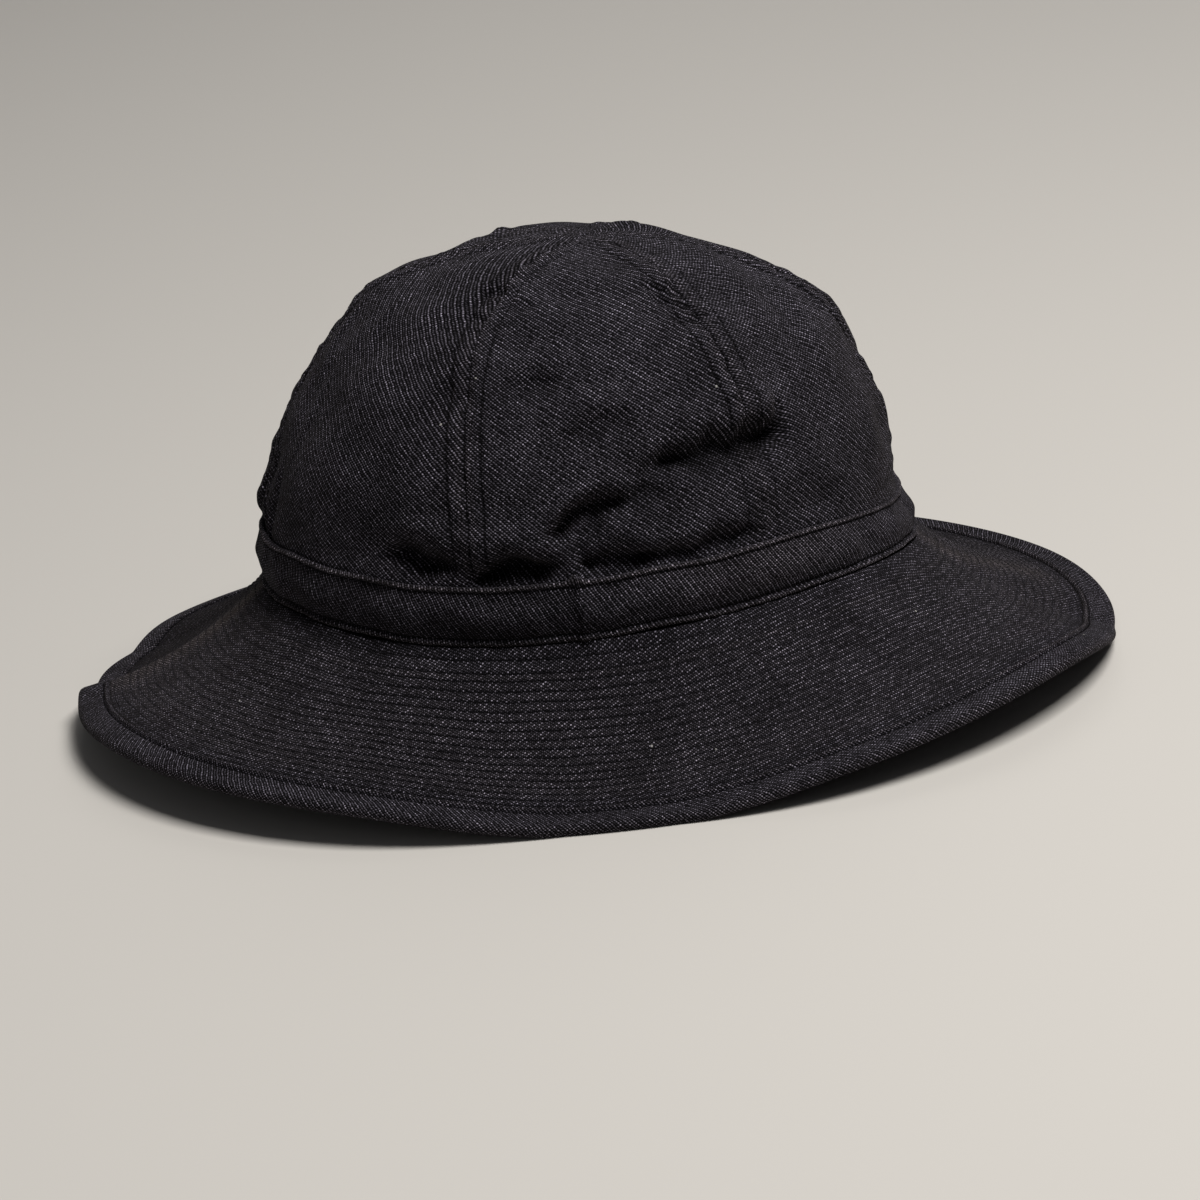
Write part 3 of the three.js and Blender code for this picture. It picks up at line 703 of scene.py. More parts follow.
def band_piece():
    """Carry the strip's section round the oval: the outer face, then the flat back, as one closed loop."""
    bearing = JOINT_BEARING + 360.0 * np.arange(BAND_STATIONS) / BAND_STATIONS
    b = bearing[:, None]
    up_high = BAND_HEIGHT - np.array(HIGH_STEPS[::-1])
    up = np.concatenate([LOW_STEPS, np.linspace(6.8, BAND_HEIGHT - 6.4, 7), up_high])
    outer = band_face(b, up[None, :])
    back_up = np.array([BAND_HEIGHT - BACK_INSET, BAND_HEIGHT * 0.7, BAND_HEIGHT * 0.3, BACK_INSET])
    lean = -BAND_LEAN * back_up / BAND_HEIGHT - BAND_WALL - lean_in(b, back_up[None, :])
    inner = beside(b, lean, foot_height(b) + back_up)
    inner[:, 0, 2] = outer[:, -1, 2] - BACK_INSET
    inner[:, -1, 2] = outer[:, 0, 2] + BACK_INSET
    points = np.concatenate([outer, inner], 1)
    rows, loop = points.shape[:2]
    run = run_along(beside(np.append(bearing, bearing[0] + 360), 0.0, 0.0))
    height = np.concatenate([up, BAND_HEIGHT + 1.5 + np.arange(4) * 5.0, [2 * BAND_HEIGHT + 2]])
    weave = weave_place(run[:, None], height[None, :], BAND_GRAIN)
    groove, wear_and_light = band_masks(b, up)
    print("band length", round(run[-1], 1), "mm")
    return make_piece(
        "hat_band",
        points.reshape(-1, 3),
        [cell_faces(rows, loop, closed=True)],
        [corners(weave).reshape(-1, 4, 2)],
        {"groove": then_bare(groove, len(back_up)), "wear_and_light": then_bare(wear_and_light, len(back_up))},
        ["hat_band"],
    )


band = band_piece()

# %% [markdown]
# ## The brim's shape
#
# The brim is cut as a flat ring, so it leaves the band steeply and flattens
# towards its edge. A table gives, every 30 degrees, how far it droops and how much
# it flares. Where the free edge would pass through the floor it is eased until it
# lies on it. Storing the hat flat has left a crisp fold along the front and a
# softer one at the back.

# %% Brim tables and face
BRIM_SLANT = 70.7        # width of the brim along the cloth, with its binding
BRIM_WALL = 2.2
BRIM_TUCK = 3.4          # how far the brim reaches in under the band
BRIM_DROP = 0.3          # its face starts this far below the band's foot
BINDING_WIDTH = 11.0
BINDING_PROUD = 0.5      # how far the binding stands over the brim's face
BINDING_DEPTH = 3.7      # thickness of the bound edge
FLATTENED = 0.9          # how far the free edge may pass below the floor; that much is pressed flat on it
LEAF = BRIM_SLANT - BINDING_WIDTH   # where the binding begins, along the cloth

BRIM_SHAPE = named_rows(
    "bearing droop flare",
    (-180, 23.6, 30),
    (-150, 22.0, 34),
    (-120, 24.8, 46),
    (-90, 37.0, 61),
    (-60, 25.6, 46),
    (-30, 20.0, 32),
    (0, 33.0, 26),
    (30, 37.0, 50),
    (60, 37.0, 56),
    (90, 36.6, 60),
    (120, 34.4, 52),
    (150, 30.7, 34),
)

BRIM_FOLDS = named_rows(
    "name bearing spread rise",
    ("front crest", -179, 6, 0.9),
    ("front sag", 180, 17, -5.0),
    ("front ridge line", -179, 2.2, 1.5),
    ("front valley", 167, 7.5, -9.0),
    ("back crest", 7, 10, 1.6),
)


def brim_curve(droop, flare, along):
    """How far out and down the face has run, and its slope there: an arc whose slope falls evenly."""
    first = np.radians(droop + flare / 2)
    turn = np.radians(flare) / BRIM_SLANT
    here = first - turn * along
    return (np.sin(first) - np.sin(here)) / turn, (np.cos(here) - np.cos(first)) / turn, here


def fold_lift(bearing, along):
    """Lift of the folds: it grows from nothing at the band to the whole rise at the edge."""
    share = np.clip(along / BRIM_SLANT, 0, 1)
    return share * (1.6 - 0.6 * share) * sum(swell(fold, bearing) for fold in BRIM_FOLDS)


def free_height(bearing, droop, along, under):
    """Height of a point `under` mm beneath the face, hanging freely."""
    _, drop, slope = brim_curve(droop, round_table(BRIM_SHAPE, "flare", bearing), along)
    foot = foot_height(bearing, 1 - step_up(along, 0, 30))
    return foot - BRIM_DROP - drop + fold_lift(bearing, along) - under * np.cos(slope)


def resting_droop(bearing):
    """The droop at each bearing, halved in on until the edge presses the floor by no more than allowed."""
    free = round_table(BRIM_SHAPE, "droop", bearing)
    back = np.array([0, 1.3, 3, 5, 7])[:, None]
    under = BINDING_DEPTH - BINDING_PROUD

    def lowest(droop):
        return free_height(bearing, droop, BRIM_SLANT - back, under).min(0)

    low, high = free - 15, free.copy()
    for _ in range(30):
        middle = (low + high) / 2
        sinks = lowest(middle) < -FLATTENED
        high = np.where(sinks, middle, high)
        low = np.where(sinks, low, middle)
    return np.where(lowest(free) >= -FLATTENED, free, low)


def brim_face(bearing, droop, along, under):
    """Points `under` mm beneath the brim's face, square to it, lifted wherever the sole meets the floor."""
    out, _, slope = brim_curve(droop, round_table(BRIM_SHAPE, "flare", bearing), along)
    sole = free_height(bearing, droop, along, BINDING_DEPTH - BINDING_PROUD)
    height = free_height(bearing, droop, along, under) + np.maximum(0, -sole)
    tucked = along < 0
    out = np.where(tucked, along, out - under * np.sin(slope))
    height = np.where(tucked, foot_height(bearing) - BRIM_DROP - under, height)
    return beside(bearing, out, height)


# %% [markdown]
# ## Quilting the brim
#
# Rings of lockstitch hold the brim's layers together and stiffen it. The rings
# stand about four millimetres apart near the band and close up towards the edge;
# only the second and third stand closer than their neighbours. Each thread pulls
# the cloth into a narrow groove, and between two grooves the layers stay a little
# puffed, so the tops of these small pillows are the first to fade.

# %% Ring places
RING_FIRST = [4.0, 8.5, 11.1]
RING_SPACING = (3.75, 2.65)     # beside the band, beside the binding
RING_CLEAR = 1.4                # least distance from the last ring to the binding
QUILT_DEPTH = 0.20
QUILT_PUFF = 0.08
QUILT_GROOVE = 0.30             # half width of the groove that a thread pulls
QUILT_PULL = named_rows(        # the sides, where the brim bends most and the grooves are deepest
    "bearing spread rise", (-106, 36, 0.8), (84, 44, 0.8))
LEAST_PULL = 0.2
SLOW_STRAY = {"height": 0.32, "size": 58.0, "seed": 31}   # how far a ring strays from a true one
QUICK_STRAY = {"height": 0.12, "size": 17.0, "seed": 32}


def ring_places():
    """Distances of the stitched rings from the band: three set ones, then steadily closer ones."""
    places = list(RING_FIRST)
    while True:
        share = places[-1] / LEAF
        spacing = RING_SPACING[0] + (RING_SPACING[1] - RING_SPACING[0]) * share
        if places[-1] + spacing > LEAF - RING_CLEAR:
            return np.array(places)
        places.append(places[-1] + spacing)


RINGS = ring_places()
print(len(RINGS), "rings of stitching at", RINGS.round(1), "mm from the band")


def quilt_pull(bearing):
    """Share of the full groove at each bearing: all of it on the sides, a fifth at the front and the back."""
    return LEAST_PULL + sum(swell(side, bearing) for side in QUILT_PULL)


def quilt_relief(along, depth, puff):
    """Height over the brim's face: puffed between the rings, with a narrow groove at each."""
    groove = bell(along[..., None] - RINGS, QUILT_GROOVE).sum(-1)
    bounds = np.concatenate([[-4.0], RINGS, [LEAF + 1.2]])
    cell = np.clip(np.searchsorted(bounds, along) - 1, 0, len(bounds) - 2)
    share = (along - bounds[cell]) / (bounds[cell + 1] - bounds[cell])
    pillow = np.sqrt(np.clip(1 - (2 * share - 1) ** 4, 0, 1))
    return puff * pillow - depth * groove, groove


def ring_wander(bearing, along):
    """How far the stitching strays from true rings: a hand guides it, except beside band and binding."""
    place = beside(bearing, along, 0.0)
    free = step_up(along, 0, 4) * (1 - step_up(along, LEAF - 4, LEAF))
    return free * (waves_of(SLOW_STRAY, place) + waves_of(QUICK_STRAY, place))


# %% Masks of the brim
# the front crest is rubbed, and towards the band it also carries a painted highlight
CREST_WEAR_AND_LIGHT = {"bearing": -178, "spread": 3.2, "inner": 2.2, "outer": 1.0}
BACK_FADE = {"bearing": -4.5, "turn": 13, "spread": 4.5}   # its line turns by this much on its way out
PILLOW_FADE = {"spread": 1.1, "share": 0.5}
# painted shade on the facet beyond the front crest
FAR_FACET_SHADE = {"bearing": 162, "share": 0.58}     # beside the front crest, where the brim was folded away
BINDING_SHADE = {"spread": 0.55, "share": 0.9}


def brim_masks(b, top, threads):
    """Painted shade for the groove mask: threads, the binding's edge and the facet folded in beyond the front
    crest. Rubbing mask: the two crests, the front one partly a painted highlight, and the small pillows.
    """
    at_binding = BINDING_SHADE["share"] * bell(top - LEAF, BINDING_SHADE["spread"])
    # painted shade on the facet beyond the front crest, which faces away from the light
    beyond = bearing_between(b, FAR_FACET_SHADE["bearing"])
    folded = FAR_FACET_SHADE["share"] * step_up(beyond, -22, -10) * (1 - step_up(beyond, 12, 17))
    folded = folded * step_up(top, 4, 16)
    groove = np.maximum(np.maximum(threads, at_binding), folded)
    # rubbed front crest, with a painted highlight that grows towards the band
    front = CREST_WEAR_AND_LIGHT["inner"] + (CREST_WEAR_AND_LIGHT["outer"] - CREST_WEAR_AND_LIGHT["inner"]) * step_up(top, 3, 42)
    front = front * bell(bearing_between(b, CREST_WEAR_AND_LIGHT["bearing"]), CREST_WEAR_AND_LIGHT["spread"])
    back_line = BACK_FADE["bearing"] + BACK_FADE["turn"] * step_up(top, 6, 44)
    back = bell(bearing_between(b, back_line), BACK_FADE["spread"]) * (1 - step_up(top, 44, 64))
    to_middle = np.abs(top[:, None] - (RINGS[:-1] + RINGS[1:]) / 2).min(1)
    pillows = PILLOW_FADE["share"] * bell(to_middle, PILLOW_FADE["spread"])
    return groove, front + back + pillows * (1 - step_up(top, LEAF - 8, LEAF - 2))


# %% Make the brim
BRIM_STATIONS = 480
GRAIN_BREAKS = (180.0, 7.0)       # the two half brims meet at the front and the back
BRIM_GRAIN = 78.0                 # degrees the warp lies off level at the middle of each half
FLAT_RING = 0.83                  # how much of a full turn the flat cut half brims take up
TOP_STEPS = [-1.15, -0.62, -0.3, 0, 0.3, 0.62]   # columns of the grid about each ring, above
SOLE_STEPS = [-1.2, -0.45, 0, 0.45]              # and beneath
TONGUE_ALONG = [0.9, 5.0, 9.0]                   # how far the brim reaches into its binding
TONGUE_UNDER = [0.85, 1.85]                      # and how deep its two faces lie there


def brim_weave(bearing, along, middle_bearing):
    """Flat place of a half brim: its arc is rolled out, so the warp is radial only at the half's middle."""
    radius = (HEAD_HALF_LENGTH + HEAD_HALF_WIDTH) / 2 / FLAT_RING + along
    angle = np.radians((bearing - middle_bearing) * FLAT_RING)
    return weave_place(radius * np.sin(angle), -radius * np.cos(angle), BRIM_GRAIN)


def there_and_back(along, under):
    """Out into the binding at one depth and back at another: distances from the band, and depths."""
    return LEAF + np.array([*along, *along[::-1]]), np.repeat(under, len(along))


def brim_columns(steps):
    """Distances across the brim: the steps about each ring, and a few columns beside band and binding."""
    places = (RINGS[:, None] + np.array(steps)).ravel()
    return np.concatenate([[0.05, 1.0, 2.0], places, np.linspace(RINGS[-1] + 1.2, LEAF + 0.4, 3)])


def brim_piece():
    """The quilted ring as a closed loop: tucked edge, upper face, a tongue in the binding, underside."""
    bearing = -180 + 360.0 * np.arange(BRIM_STATIONS) / BRIM_STATIONS
    b, droop = bearing[:, None], resting_droop(bearing)[:, None]
    top, sole = brim_columns(TOP_STEPS), brim_columns(SOLE_STEPS)[::-1]
    pull = quilt_pull(b)
    rise_top, groove_shade_top = quilt_relief(top[None, :], QUILT_DEPTH * pull, QUILT_PUFF * pull)
    rise_sole, groove_shade_sole = quilt_relief(sole[None, :], QUILT_DEPTH * pull, QUILT_PUFF * pull)
    edge = np.array([-BRIM_TUCK, -0.2])
    tongue, tongue_under = there_and_back(TONGUE_ALONG, TONGUE_UNDER)
    points = np.concatenate([
        brim_face(b, droop, edge[None, :], np.zeros((1, 2))),
        brim_face(b, droop, top + ring_wander(b, top[None, :]), -rise_top),
        brim_face(b, droop, tongue[None, :], tongue_under[None, :]),
        brim_face(b, droop, sole + ring_wander(b, sole[None, :]), BRIM_WALL + rise_sole),
        brim_face(b, droop, edge[None, ::-1], np.full((1, 2), BRIM_WALL)),
    ], 1)
    rows, loop = points.shape[:2]
    flat_along = np.concatenate([edge, top, tongue, sole, edge[::-1], edge[:1]])[None, :]
    around = np.append(bearing, 180.0)[:, None]
    near = corners(brim_weave(around, flat_along, -90.0))
    far = corners(brim_weave(around % 360, flat_along, 90.0))
    far_side = (bearing > GRAIN_BREAKS[1]) & (bearing < GRAIN_BREAKS[0])
    weave = np.where(far_side[:, None, None, None], far, near)
    # painted shade along the rings' grooves above and beneath, and over the tucked edge under the band
    groove, wear_and_light = brim_masks(b, top, groove_shade_top * pull)
    two, six = np.zeros((rows, 2)), np.zeros((rows, len(tongue)))
    groove = np.concatenate([two + 1, groove, six, groove_shade_sole * pull, two], 1)
    wear_and_light = np.concatenate([two, wear_and_light, six, np.zeros((rows, len(sole))), two], 1)
    return make_piece(
        "brim",
        points.reshape(-1, 3),
        [cell_faces(rows, loop, closed=True)],
        [weave.reshape(-1, 4, 2)],
        {"groove": groove.ravel(), "wear_and_light": wear_and_light.ravel()},
        ["brim"],
    )


brim = brim_piece()

# %% [markdown]
# ## The edge binding
#
# A strip of the same cloth folded over the brim's edge and sewn through. Its
# section is a U: the inner edges are turned under, so they stand up as narrow
# rolls beside the stitching, and the bend round the outside is full and soft.

# %% Make the binding
BINDING_STITCH = 2.1
BINDING_STATIONS = 640
BINDING_GRAIN = -7
# bearings where the painted shade of the binding's stitch groove and the rubbed, partly painted highlight of
# its roll are strongest
BINDING_MARK_SWELLS = named_rows(      # where the edge was sewn tightest
    "bearing spread rise", (-5, 80, 0.6), (156, 16, 0.6))
LEAST_MARK_SHARE = 0.4
BINDING_LINES = named_rows(
    "edge at spread rise",
    ("low", 0.85, 0.65, 0.60),
    ("low", 0, 0.35, -0.60),
    ("low", BINDING_STITCH, 0.50, -0.50),
)
BINDING_SHADE_LINES = named_rows(
    "edge at spread rise", ("low", BINDING_STITCH, 0.45, 0.6), ("low", 0, 0.4, 1.0))
# the turned roll beside the stitching: rubbed, and lightened also as a painted highlight
BINDING_RUB_LINES = named_rows("edge at spread rise", ("low", 0.9, 0.5, 0.95))
SLOT_ALONG = [0.2, 5.0, 9.4]    # the slot that holds the brim
SLOT_UNDER = [2.25, 0.45]
BEND_POWER = 0.8                # under 1: the bend is fuller than half an ellipse
BEND_EXTRA = 0.2                # and this much thicker than the rest, on each side
BEND_RUB = {"angle": 25, "share": 0.45}
SOLE_RELIEF = 0.5               # relief of the underside, as a share of the upper side's
LENGTH_POINT = 20               # point of the section, on its upper bend, along which the cloth is measured
LEAF_RISE = 0.22                # the strip stands this much higher between its stitching and the bend
INSETS = np.array([0, 0.2, 0.45, 0.75, 1.05, 1.4, 1.7, 1.9, 2.1, 2.3, 2.55, 2.9, 3.5, 4.5, 5.8, 7.2, 8.5])


def binding_relief(inset):
    """Height of the strip over its flat face: a roll at its turned edge, the stitch groove, a soft leaf."""
    leaf = LEAF_RISE * step_up(inset, BINDING_STITCH, BINDING_STITCH + 2.5)
    return lines_across(BINDING_LINES, inset) + leaf


def binding_section():
    """(along, under) pairs round the strip's section, its two masks and the flat distance run round it."""
    upper = np.stack([LEAF + INSETS, -BINDING_PROUD - binding_relief(INSETS)], 1)
    half = BINDING_DEPTH / 2 + BEND_EXTRA
    angle = np.linspace(90, -90, 13)[1:-1]
    bulge = BINDING_WIDTH - INSETS[-1]
    bend = np.stack([
        BRIM_SLANT - bulge * (1 - np.cos(np.radians(angle)) ** BEND_POWER),
        BINDING_DEPTH / 2 - BINDING_PROUD - half * np.sin(np.radians(angle)),
    ], 1)
    sole = BINDING_DEPTH - BINDING_PROUD + SOLE_RELIEF * binding_relief(INSETS)
    lower = np.stack([LEAF + INSETS, sole], 1)[::-1]
    slot = np.stack(there_and_back(SLOT_ALONG, SLOT_UNDER), 1)
    section = np.concatenate([upper, bend, lower, slot])
    edge = np.concatenate([INSETS, np.full(len(bend), 9.0), INSETS[::-1], np.full(len(slot), 5.0)])
    wear_and_light = lines_across(BINDING_RUB_LINES, edge)
    rubbed = BEND_RUB["share"] * np.cos(np.radians(angle - BEND_RUB["angle"])) ** 2
    wear_and_light[len(INSETS):len(INSETS) + len(bend)] = rubbed
    groove = lines_across(BINDING_SHADE_LINES, edge)
    return section, groove, wear_and_light, run_along(np.append(section, section[:1], 0))


def binding_piece():
    """Carry the folded strip's section round the brim's edge."""
    section, groove, wear_and_light, flat = binding_section()
    bearing = -180 + 360.0 * np.arange(BINDING_STATIONS) / BINDING_STATIONS
    droop = resting_droop(bearing)[:, None]
    points = brim_face(bearing[:, None], droop, section[None, :, 0], section[None, :, 1])
    points[..., 2] = np.maximum(points[..., 2], 0.0)
    rows, loop = points.shape[:2]
    bend = points[:, LENGTH_POINT]
    run = run_along(np.append(bend, bend[:1], 0))
    # how strongly the painted shade and the rubbed, partly painted highlight show at each bearing
    mark_share = LEAST_MARK_SHARE + sum(swell(side, bearing) for side in BINDING_MARK_SWELLS)[:, None]
    print("bound edge", round(run[-1], 1), "mm round")
    return make_piece(
        "edge_binding",
        points.reshape(-1, 3),
        [cell_faces(rows, loop, closed=True)],
        [corners(weave_place(run[:, None], -flat[None, :], BINDING_GRAIN)).reshape(-1, 4, 2)],
        {"groove": (groove * mark_share).ravel(), "wear_and_light": (wear_and_light * mark_share).ravel()},
        ["edge_binding"],
    )


binding = binding_piece()

# %% [markdown]
# ## Stitches
#
# A lockstitch shows as a row of short threads, each rising out of one needle
# hole and diving into the next. One small spindle is worked out once and laid along
# every row by array arithmetic, so thousands of stitches cost one joined mesh.

# %% Stitch maker
STITCH_LENGTH = 2.45
STITCH_PITCH = 2.95
THREAD = 0.42
SPINDLE = named_rows(    # rings along a stitch: share of its length, of its thickness, and sink in threads
    "along thick sunk", (-0.5, 0.35, -0.62), (-0.24, 1.0, 0), (0.24, 1.0, 0), (0.5, 0.35, -0.62))
ON_CROWN = -0.02         # how far the middle of a thread lies over the cloth; below 0 it is sunk in it
ON_BAND = 0.02
ON_BINDING = 0.18        # measured from the brim's own face, which lies deeper than the binding's
LENGTH_CHANCE = 0.06     # how unevenly the stitches are spaced, in millimetres
TURN_CHANCE = 0.035      # and how far they are turned aside


def spindle():
    """A stitch at the origin: four diamond rings along x, thickest in the middle, its ends sunk in z."""
    columns = ("along", "thick", "sunk")
    along, thick, sunk = (np.array([ring[key] for ring in SPINDLE])[:, None] for key in columns)
    angle = np.radians([0, 90, 180, 270])
    x = along * STITCH_LENGTH + 0 * angle
    y = thick * np.cos(angle) * THREAD / 2
    z = thick * np.sin(angle) * THREAD / 2 + sunk * THREAD
    ends = np.array([[3, 2, 1, 0], [12, 13, 14, 15]])
    return np.stack([x, y, z], -1).reshape(-1, 3), np.concatenate([cell_faces(4, 4, closed=False), ends])


def read_off(places, run, values):
    """Values with three columns read off at places along a run."""
    return np.stack([np.interp(places, run, values[:, k]) for k in range(3)], 1)


def lay_stitches(rows, seed):
    """Place spindles along rows of (points, normals), evenly by length, each turned to its own tangent."""
    chance = np.random.default_rng(seed)
    middles, directions, ups = [], [], []
    for line, normal in rows:
        run = run_along(line)
        count = max(2, int(run[-1] / STITCH_PITCH))
        centre = (np.arange(count) + 0.5) * run[-1] / count
        centre += chance.normal(0, LENGTH_CHANCE, count)
        middles.append(read_off(centre, run, line))
        directions.append(read_off(centre + 1, run, line) - read_off(centre - 1, run, line))
        ups.append(read_off(centre, run, normal))
    middle, along, up = (np.concatenate(part) for part in (middles, directions, ups))
    along /= np.linalg.norm(along, axis=1)[:, None]
    up -= along * np.einsum("ij,ij->i", up, along)[:, None]
    up /= np.linalg.norm(up, axis=1)[:, None]
    side = np.cross(up, along)
    along = along + side * chance.normal(0, TURN_CHANCE, len(along))[:, None]
    shape, faces = spindle()
    points = middle[:, None, :] + np.einsum("pk,skj->spj", shape, np.stack([along, side, up], 1))
    numbers = (np.arange(len(middle))[:, None, None] * len(shape) + faces).reshape(-1, 4)
    return points.reshape(-1, 3), numbers


def stitch_piece(name, rows, seed, quilted=False):
    """All the stitches of one kind as one mesh; quilting threads have greyed wherever they lie flat."""
    points, faces = lay_stitches(rows, seed)
    shape, cells = spindle()
    weave = np.tile(shape[cells][..., :2], (len(faces) // len(cells), 1, 1))
    bearing = np.degrees(np.arctan2(points[:, 1] / HEAD_HALF_WIDTH, points[:, 0] / HEAD_HALF_LENGTH))
    faded = 1 - quilt_pull(bearing) if quilted else 0.0
    return make_piece(name, points, [faces], [weave], {"faded": faded})


# %% Rows on the crown
SEWN_CLIMBS = (0.004, 0.985)     # the topstitching starts at the band and stops just under the apex
LEAST_SQUEEZE = 0.35             # and a row stops where the panel gets this narrow


def crown_rows():
    """Two rows beside each seam, one on each panel that meets there, following the converging grooves."""
    level = climbs[(climbs > SEWN_CLIMBS[0]) & (climbs < SEWN_CLIMBS[1])]
    rows = []
    for index in range(len(CROWN_SEAMS)):
        _, _, width = panel_row(index, level)
        squeeze = np.minimum(1.0, width / 2 / NARROW)
        keep = squeeze > LEAST_SQUEEZE
        gap = TOPSTITCH * squeeze
        for from_left in (gap, width - gap):
            line, normal, _, _ = panel_face(index, level, from_left[:, None], squeeze, proud=ON_CROWN)
            rows.append((line[keep, 0], normal[keep, 0]))
    return rows


crown_stitches = stitch_piece("crown_topstitching", crown_rows(), 41)


# %% Rows on the band
def band_rows():
    """One row beside each edge of the strip, with directions square to it from a step outwards."""
    bearings = np.linspace(JOINT_BEARING, JOINT_BEARING + 360, 1400)
    rows = []
    for up in (BAND_STITCH["low"], BAND_HEIGHT - BAND_STITCH["high"]):
        level = np.full(len(bearings), up)
        line = band_face(bearings, level, ON_BAND)
        rows.append((line, band_face(bearings, level, ON_BAND + 1.0) - line))
    return rows


band_stitches = stitch_piece("band_stitching", band_rows(), 42)


# %% Rows on the brim and its binding
def brim_rows(along_places, under, stray=0.0):
    """Rings at set distances from the band; `under` is their depth beneath the brim's face."""
    bearings = np.linspace(-180, 180, 1500)
    droop = resting_droop(bearings)
    outwards = np.sign(1.0 - under)
    rows = []
    for place in along_places:
        along = np.full(len(bearings), place)
        along = along + stray * ring_wander(bearings, along)
        line = brim_face(bearings, droop, along, under)
        above = brim_face(bearings, droop, along, under - outwards)
        rows.append((line, above - brim_face(bearings, droop, along, under + outwards)))
    return rows


quilting = stitch_piece("brim_quilting", brim_rows(RINGS, 0.0, 1.0), 43, True)
under_rows = brim_rows(RINGS, BRIM_WALL, 1.0)
quilting_under = stitch_piece("brim_quilting_underside", under_rows, 44, True)
edge_rows = brim_rows([LEAF + BINDING_STITCH], -ON_BINDING)
edge_rows += brim_rows([LEAF + BINDING_STITCH], BINDING_DEPTH - BINDING_PROUD)
binding_stitches = stitch_piece("binding_stitching", edge_rows, 45)

# %% [markdown]
# ## The woven finish
#
# Denim is a warp-faced twill: each warp thread floats over three weft threads and
# dives under the fourth, one step later than its neighbour, which draws the
# diagonal ribs. The weave coordinates make this arithmetic: number the threads
# both ways, and the weft shows wherever pick number minus end number is a
# multiple of four. Heights come from rounding each thread across itself and
# arching it along its float. All of it sits in one node group that every cloth
# material uses with its own values. The brim's cloth is the odd one: its warp
# floats over two threads only, and its ribs hardly show.

# %% Node helpers
def plug(tree, value, socket):
    """Feed a socket with another socket's output or with a plain value."""
    if isinstance(value, bpy.types.NodeSocket):
        tree.links.new(value, socket)
    else:
        socket.default_value = value


def plug_all(tree, values, node):
    """Feed a node's inputs, given by name or number."""
    for key, value in values.items():
        plug(tree, value, node.inputs[key])


def wire(tree, kind, inputs, output=0, **settings):
    """Add a node, set it up, feed its inputs, and hand back one of its outputs."""
    node = tree.nodes.new(kind)
    for key, value in settings.items():
        setattr(node, key, value)
    plug_all(tree, inputs, node)
    return node.outputs[output]


def mix_colour(tree, share, low, high, blend="MIX", clamp=True):
    """A Mix node on two colours."""
    inputs = {0: share, 6: low, 7: high}
    return wire(tree, "ShaderNodeMix", inputs, 2, data_type="RGBA", blend_type=blend, clamp_factor=clamp)


def new_group(name, inputs, outputs):
    """An empty shader group: its inputs by name and first value, its outputs by name and kind."""
    kinds = {1: "NodeSocketFloat", 3: "NodeSocketVector", 4: "NodeSocketColor"}
    group = bpy.data.node_groups.new(name, "ShaderNodeTree")
    for socket, value in inputs.items():
        made = group.interface.new_socket(name=socket, in_out="INPUT", socket_type=kinds[np.size(value)])
        made.default_value = value
    for socket, kind in outputs.items():
        group.interface.new_socket(name=socket, in_out="OUTPUT", socket_type=kind)
    return group, group.nodes.new("NodeGroupInput").outputs, group.nodes.new("NodeGroupOutput").inputs


# %% Colours and values of the twill
BLACK_WARP = (0.0052, 0.0047, 0.0060, 1)
GREY_WEFT = (0.150, 0.138, 0.170, 1)
GREY_FUZZ = (0.034, 0.032, 0.035, 1)
PALE_LINT = (0.30, 0.29, 0.28, 1)
# warm tint for worn cloth and for the painted highlights that share its mask
WARM_WEAR_AND_LIGHT = (1.10, 1.0, 0.86, 1)     # rubbed cloth is multiplied by this

TWILL_VALUES = {
    "Warp": BLACK_WARP,
    "Weft": GREY_WEFT,
    "End Pitch": 0.525,      # millimetres from one warp thread to the next
    "Pick Pitch": 0.652,     # millimetres from one weft thread to the next
    "Float Length": 3.0,     # weft threads that a warp thread passes over
    "Rib Line": 0.42,        # light along the diagonal lines where the weft shows
    "Unevenness": 0.45,      # how much the dye varies, thread by thread and in clouds
    "Glint": 1.0,            # light on the middle of each float
    "Furrow": 0.88,          # darkness on both flanks of each rib
}

PICK_LAG = 0.28              # how far the picks may be out of step from one end to the next
THREAD_ROUND = 0.7           # power under 1: threads are fuller than a sine wave
WEFT_ROUND = 0.6
WEFT_HEIGHT = 0.80           # top of a weft thread, as a share of a warp float's
FLOAT_DIP = 0.25             # height that a warp float keeps at its two ends
RIB_HEIGHT = 0.25            # share of the relief that belongs to the ribs as a whole
SLUB_RATE = 0.11             # how quickly the shade of a warp thread changes along it
GLINT_POWER = 5.0            # the higher, the shorter the glint on a float
LINE_POWER = 2.5             # the higher, the finer the light line between ribs
CLOUD_SHARE = 2.4            # unevenness of the clouds, for 1 of the threads
FUZZ_HEIGHT = 0.30
# the next values act on worn cloth and on painted highlights alike
GREYED = {"share": 0.3, "most": 0.65}        # how far wear turns yarn into grey fuzz
LEAST_PILE = 0.12
FADED_SHARE = 0.5            # how far full wear brings out the warm fade

LEVELS = {                   # a value times the first number, plus the second
    "weft light": (2.4, 0.30),
    "float light": (0.80, 0.05),
    "pile": (3.4, -0.7),
    "between threads": (0.90, 0.19),
    # painted shade: the groove mask darkens the colour by up to this share
    "groove": (-0.80, 1.0),
    # worn cloth and painted highlights: the rubbing mask lightens the colour
    "wear_and_light": (0.55, 1.0),
    "roughness": (0.2, 0.72),
}
LINT_CHANCE = 0.99993        # only the few places whose random number passes this carry lint


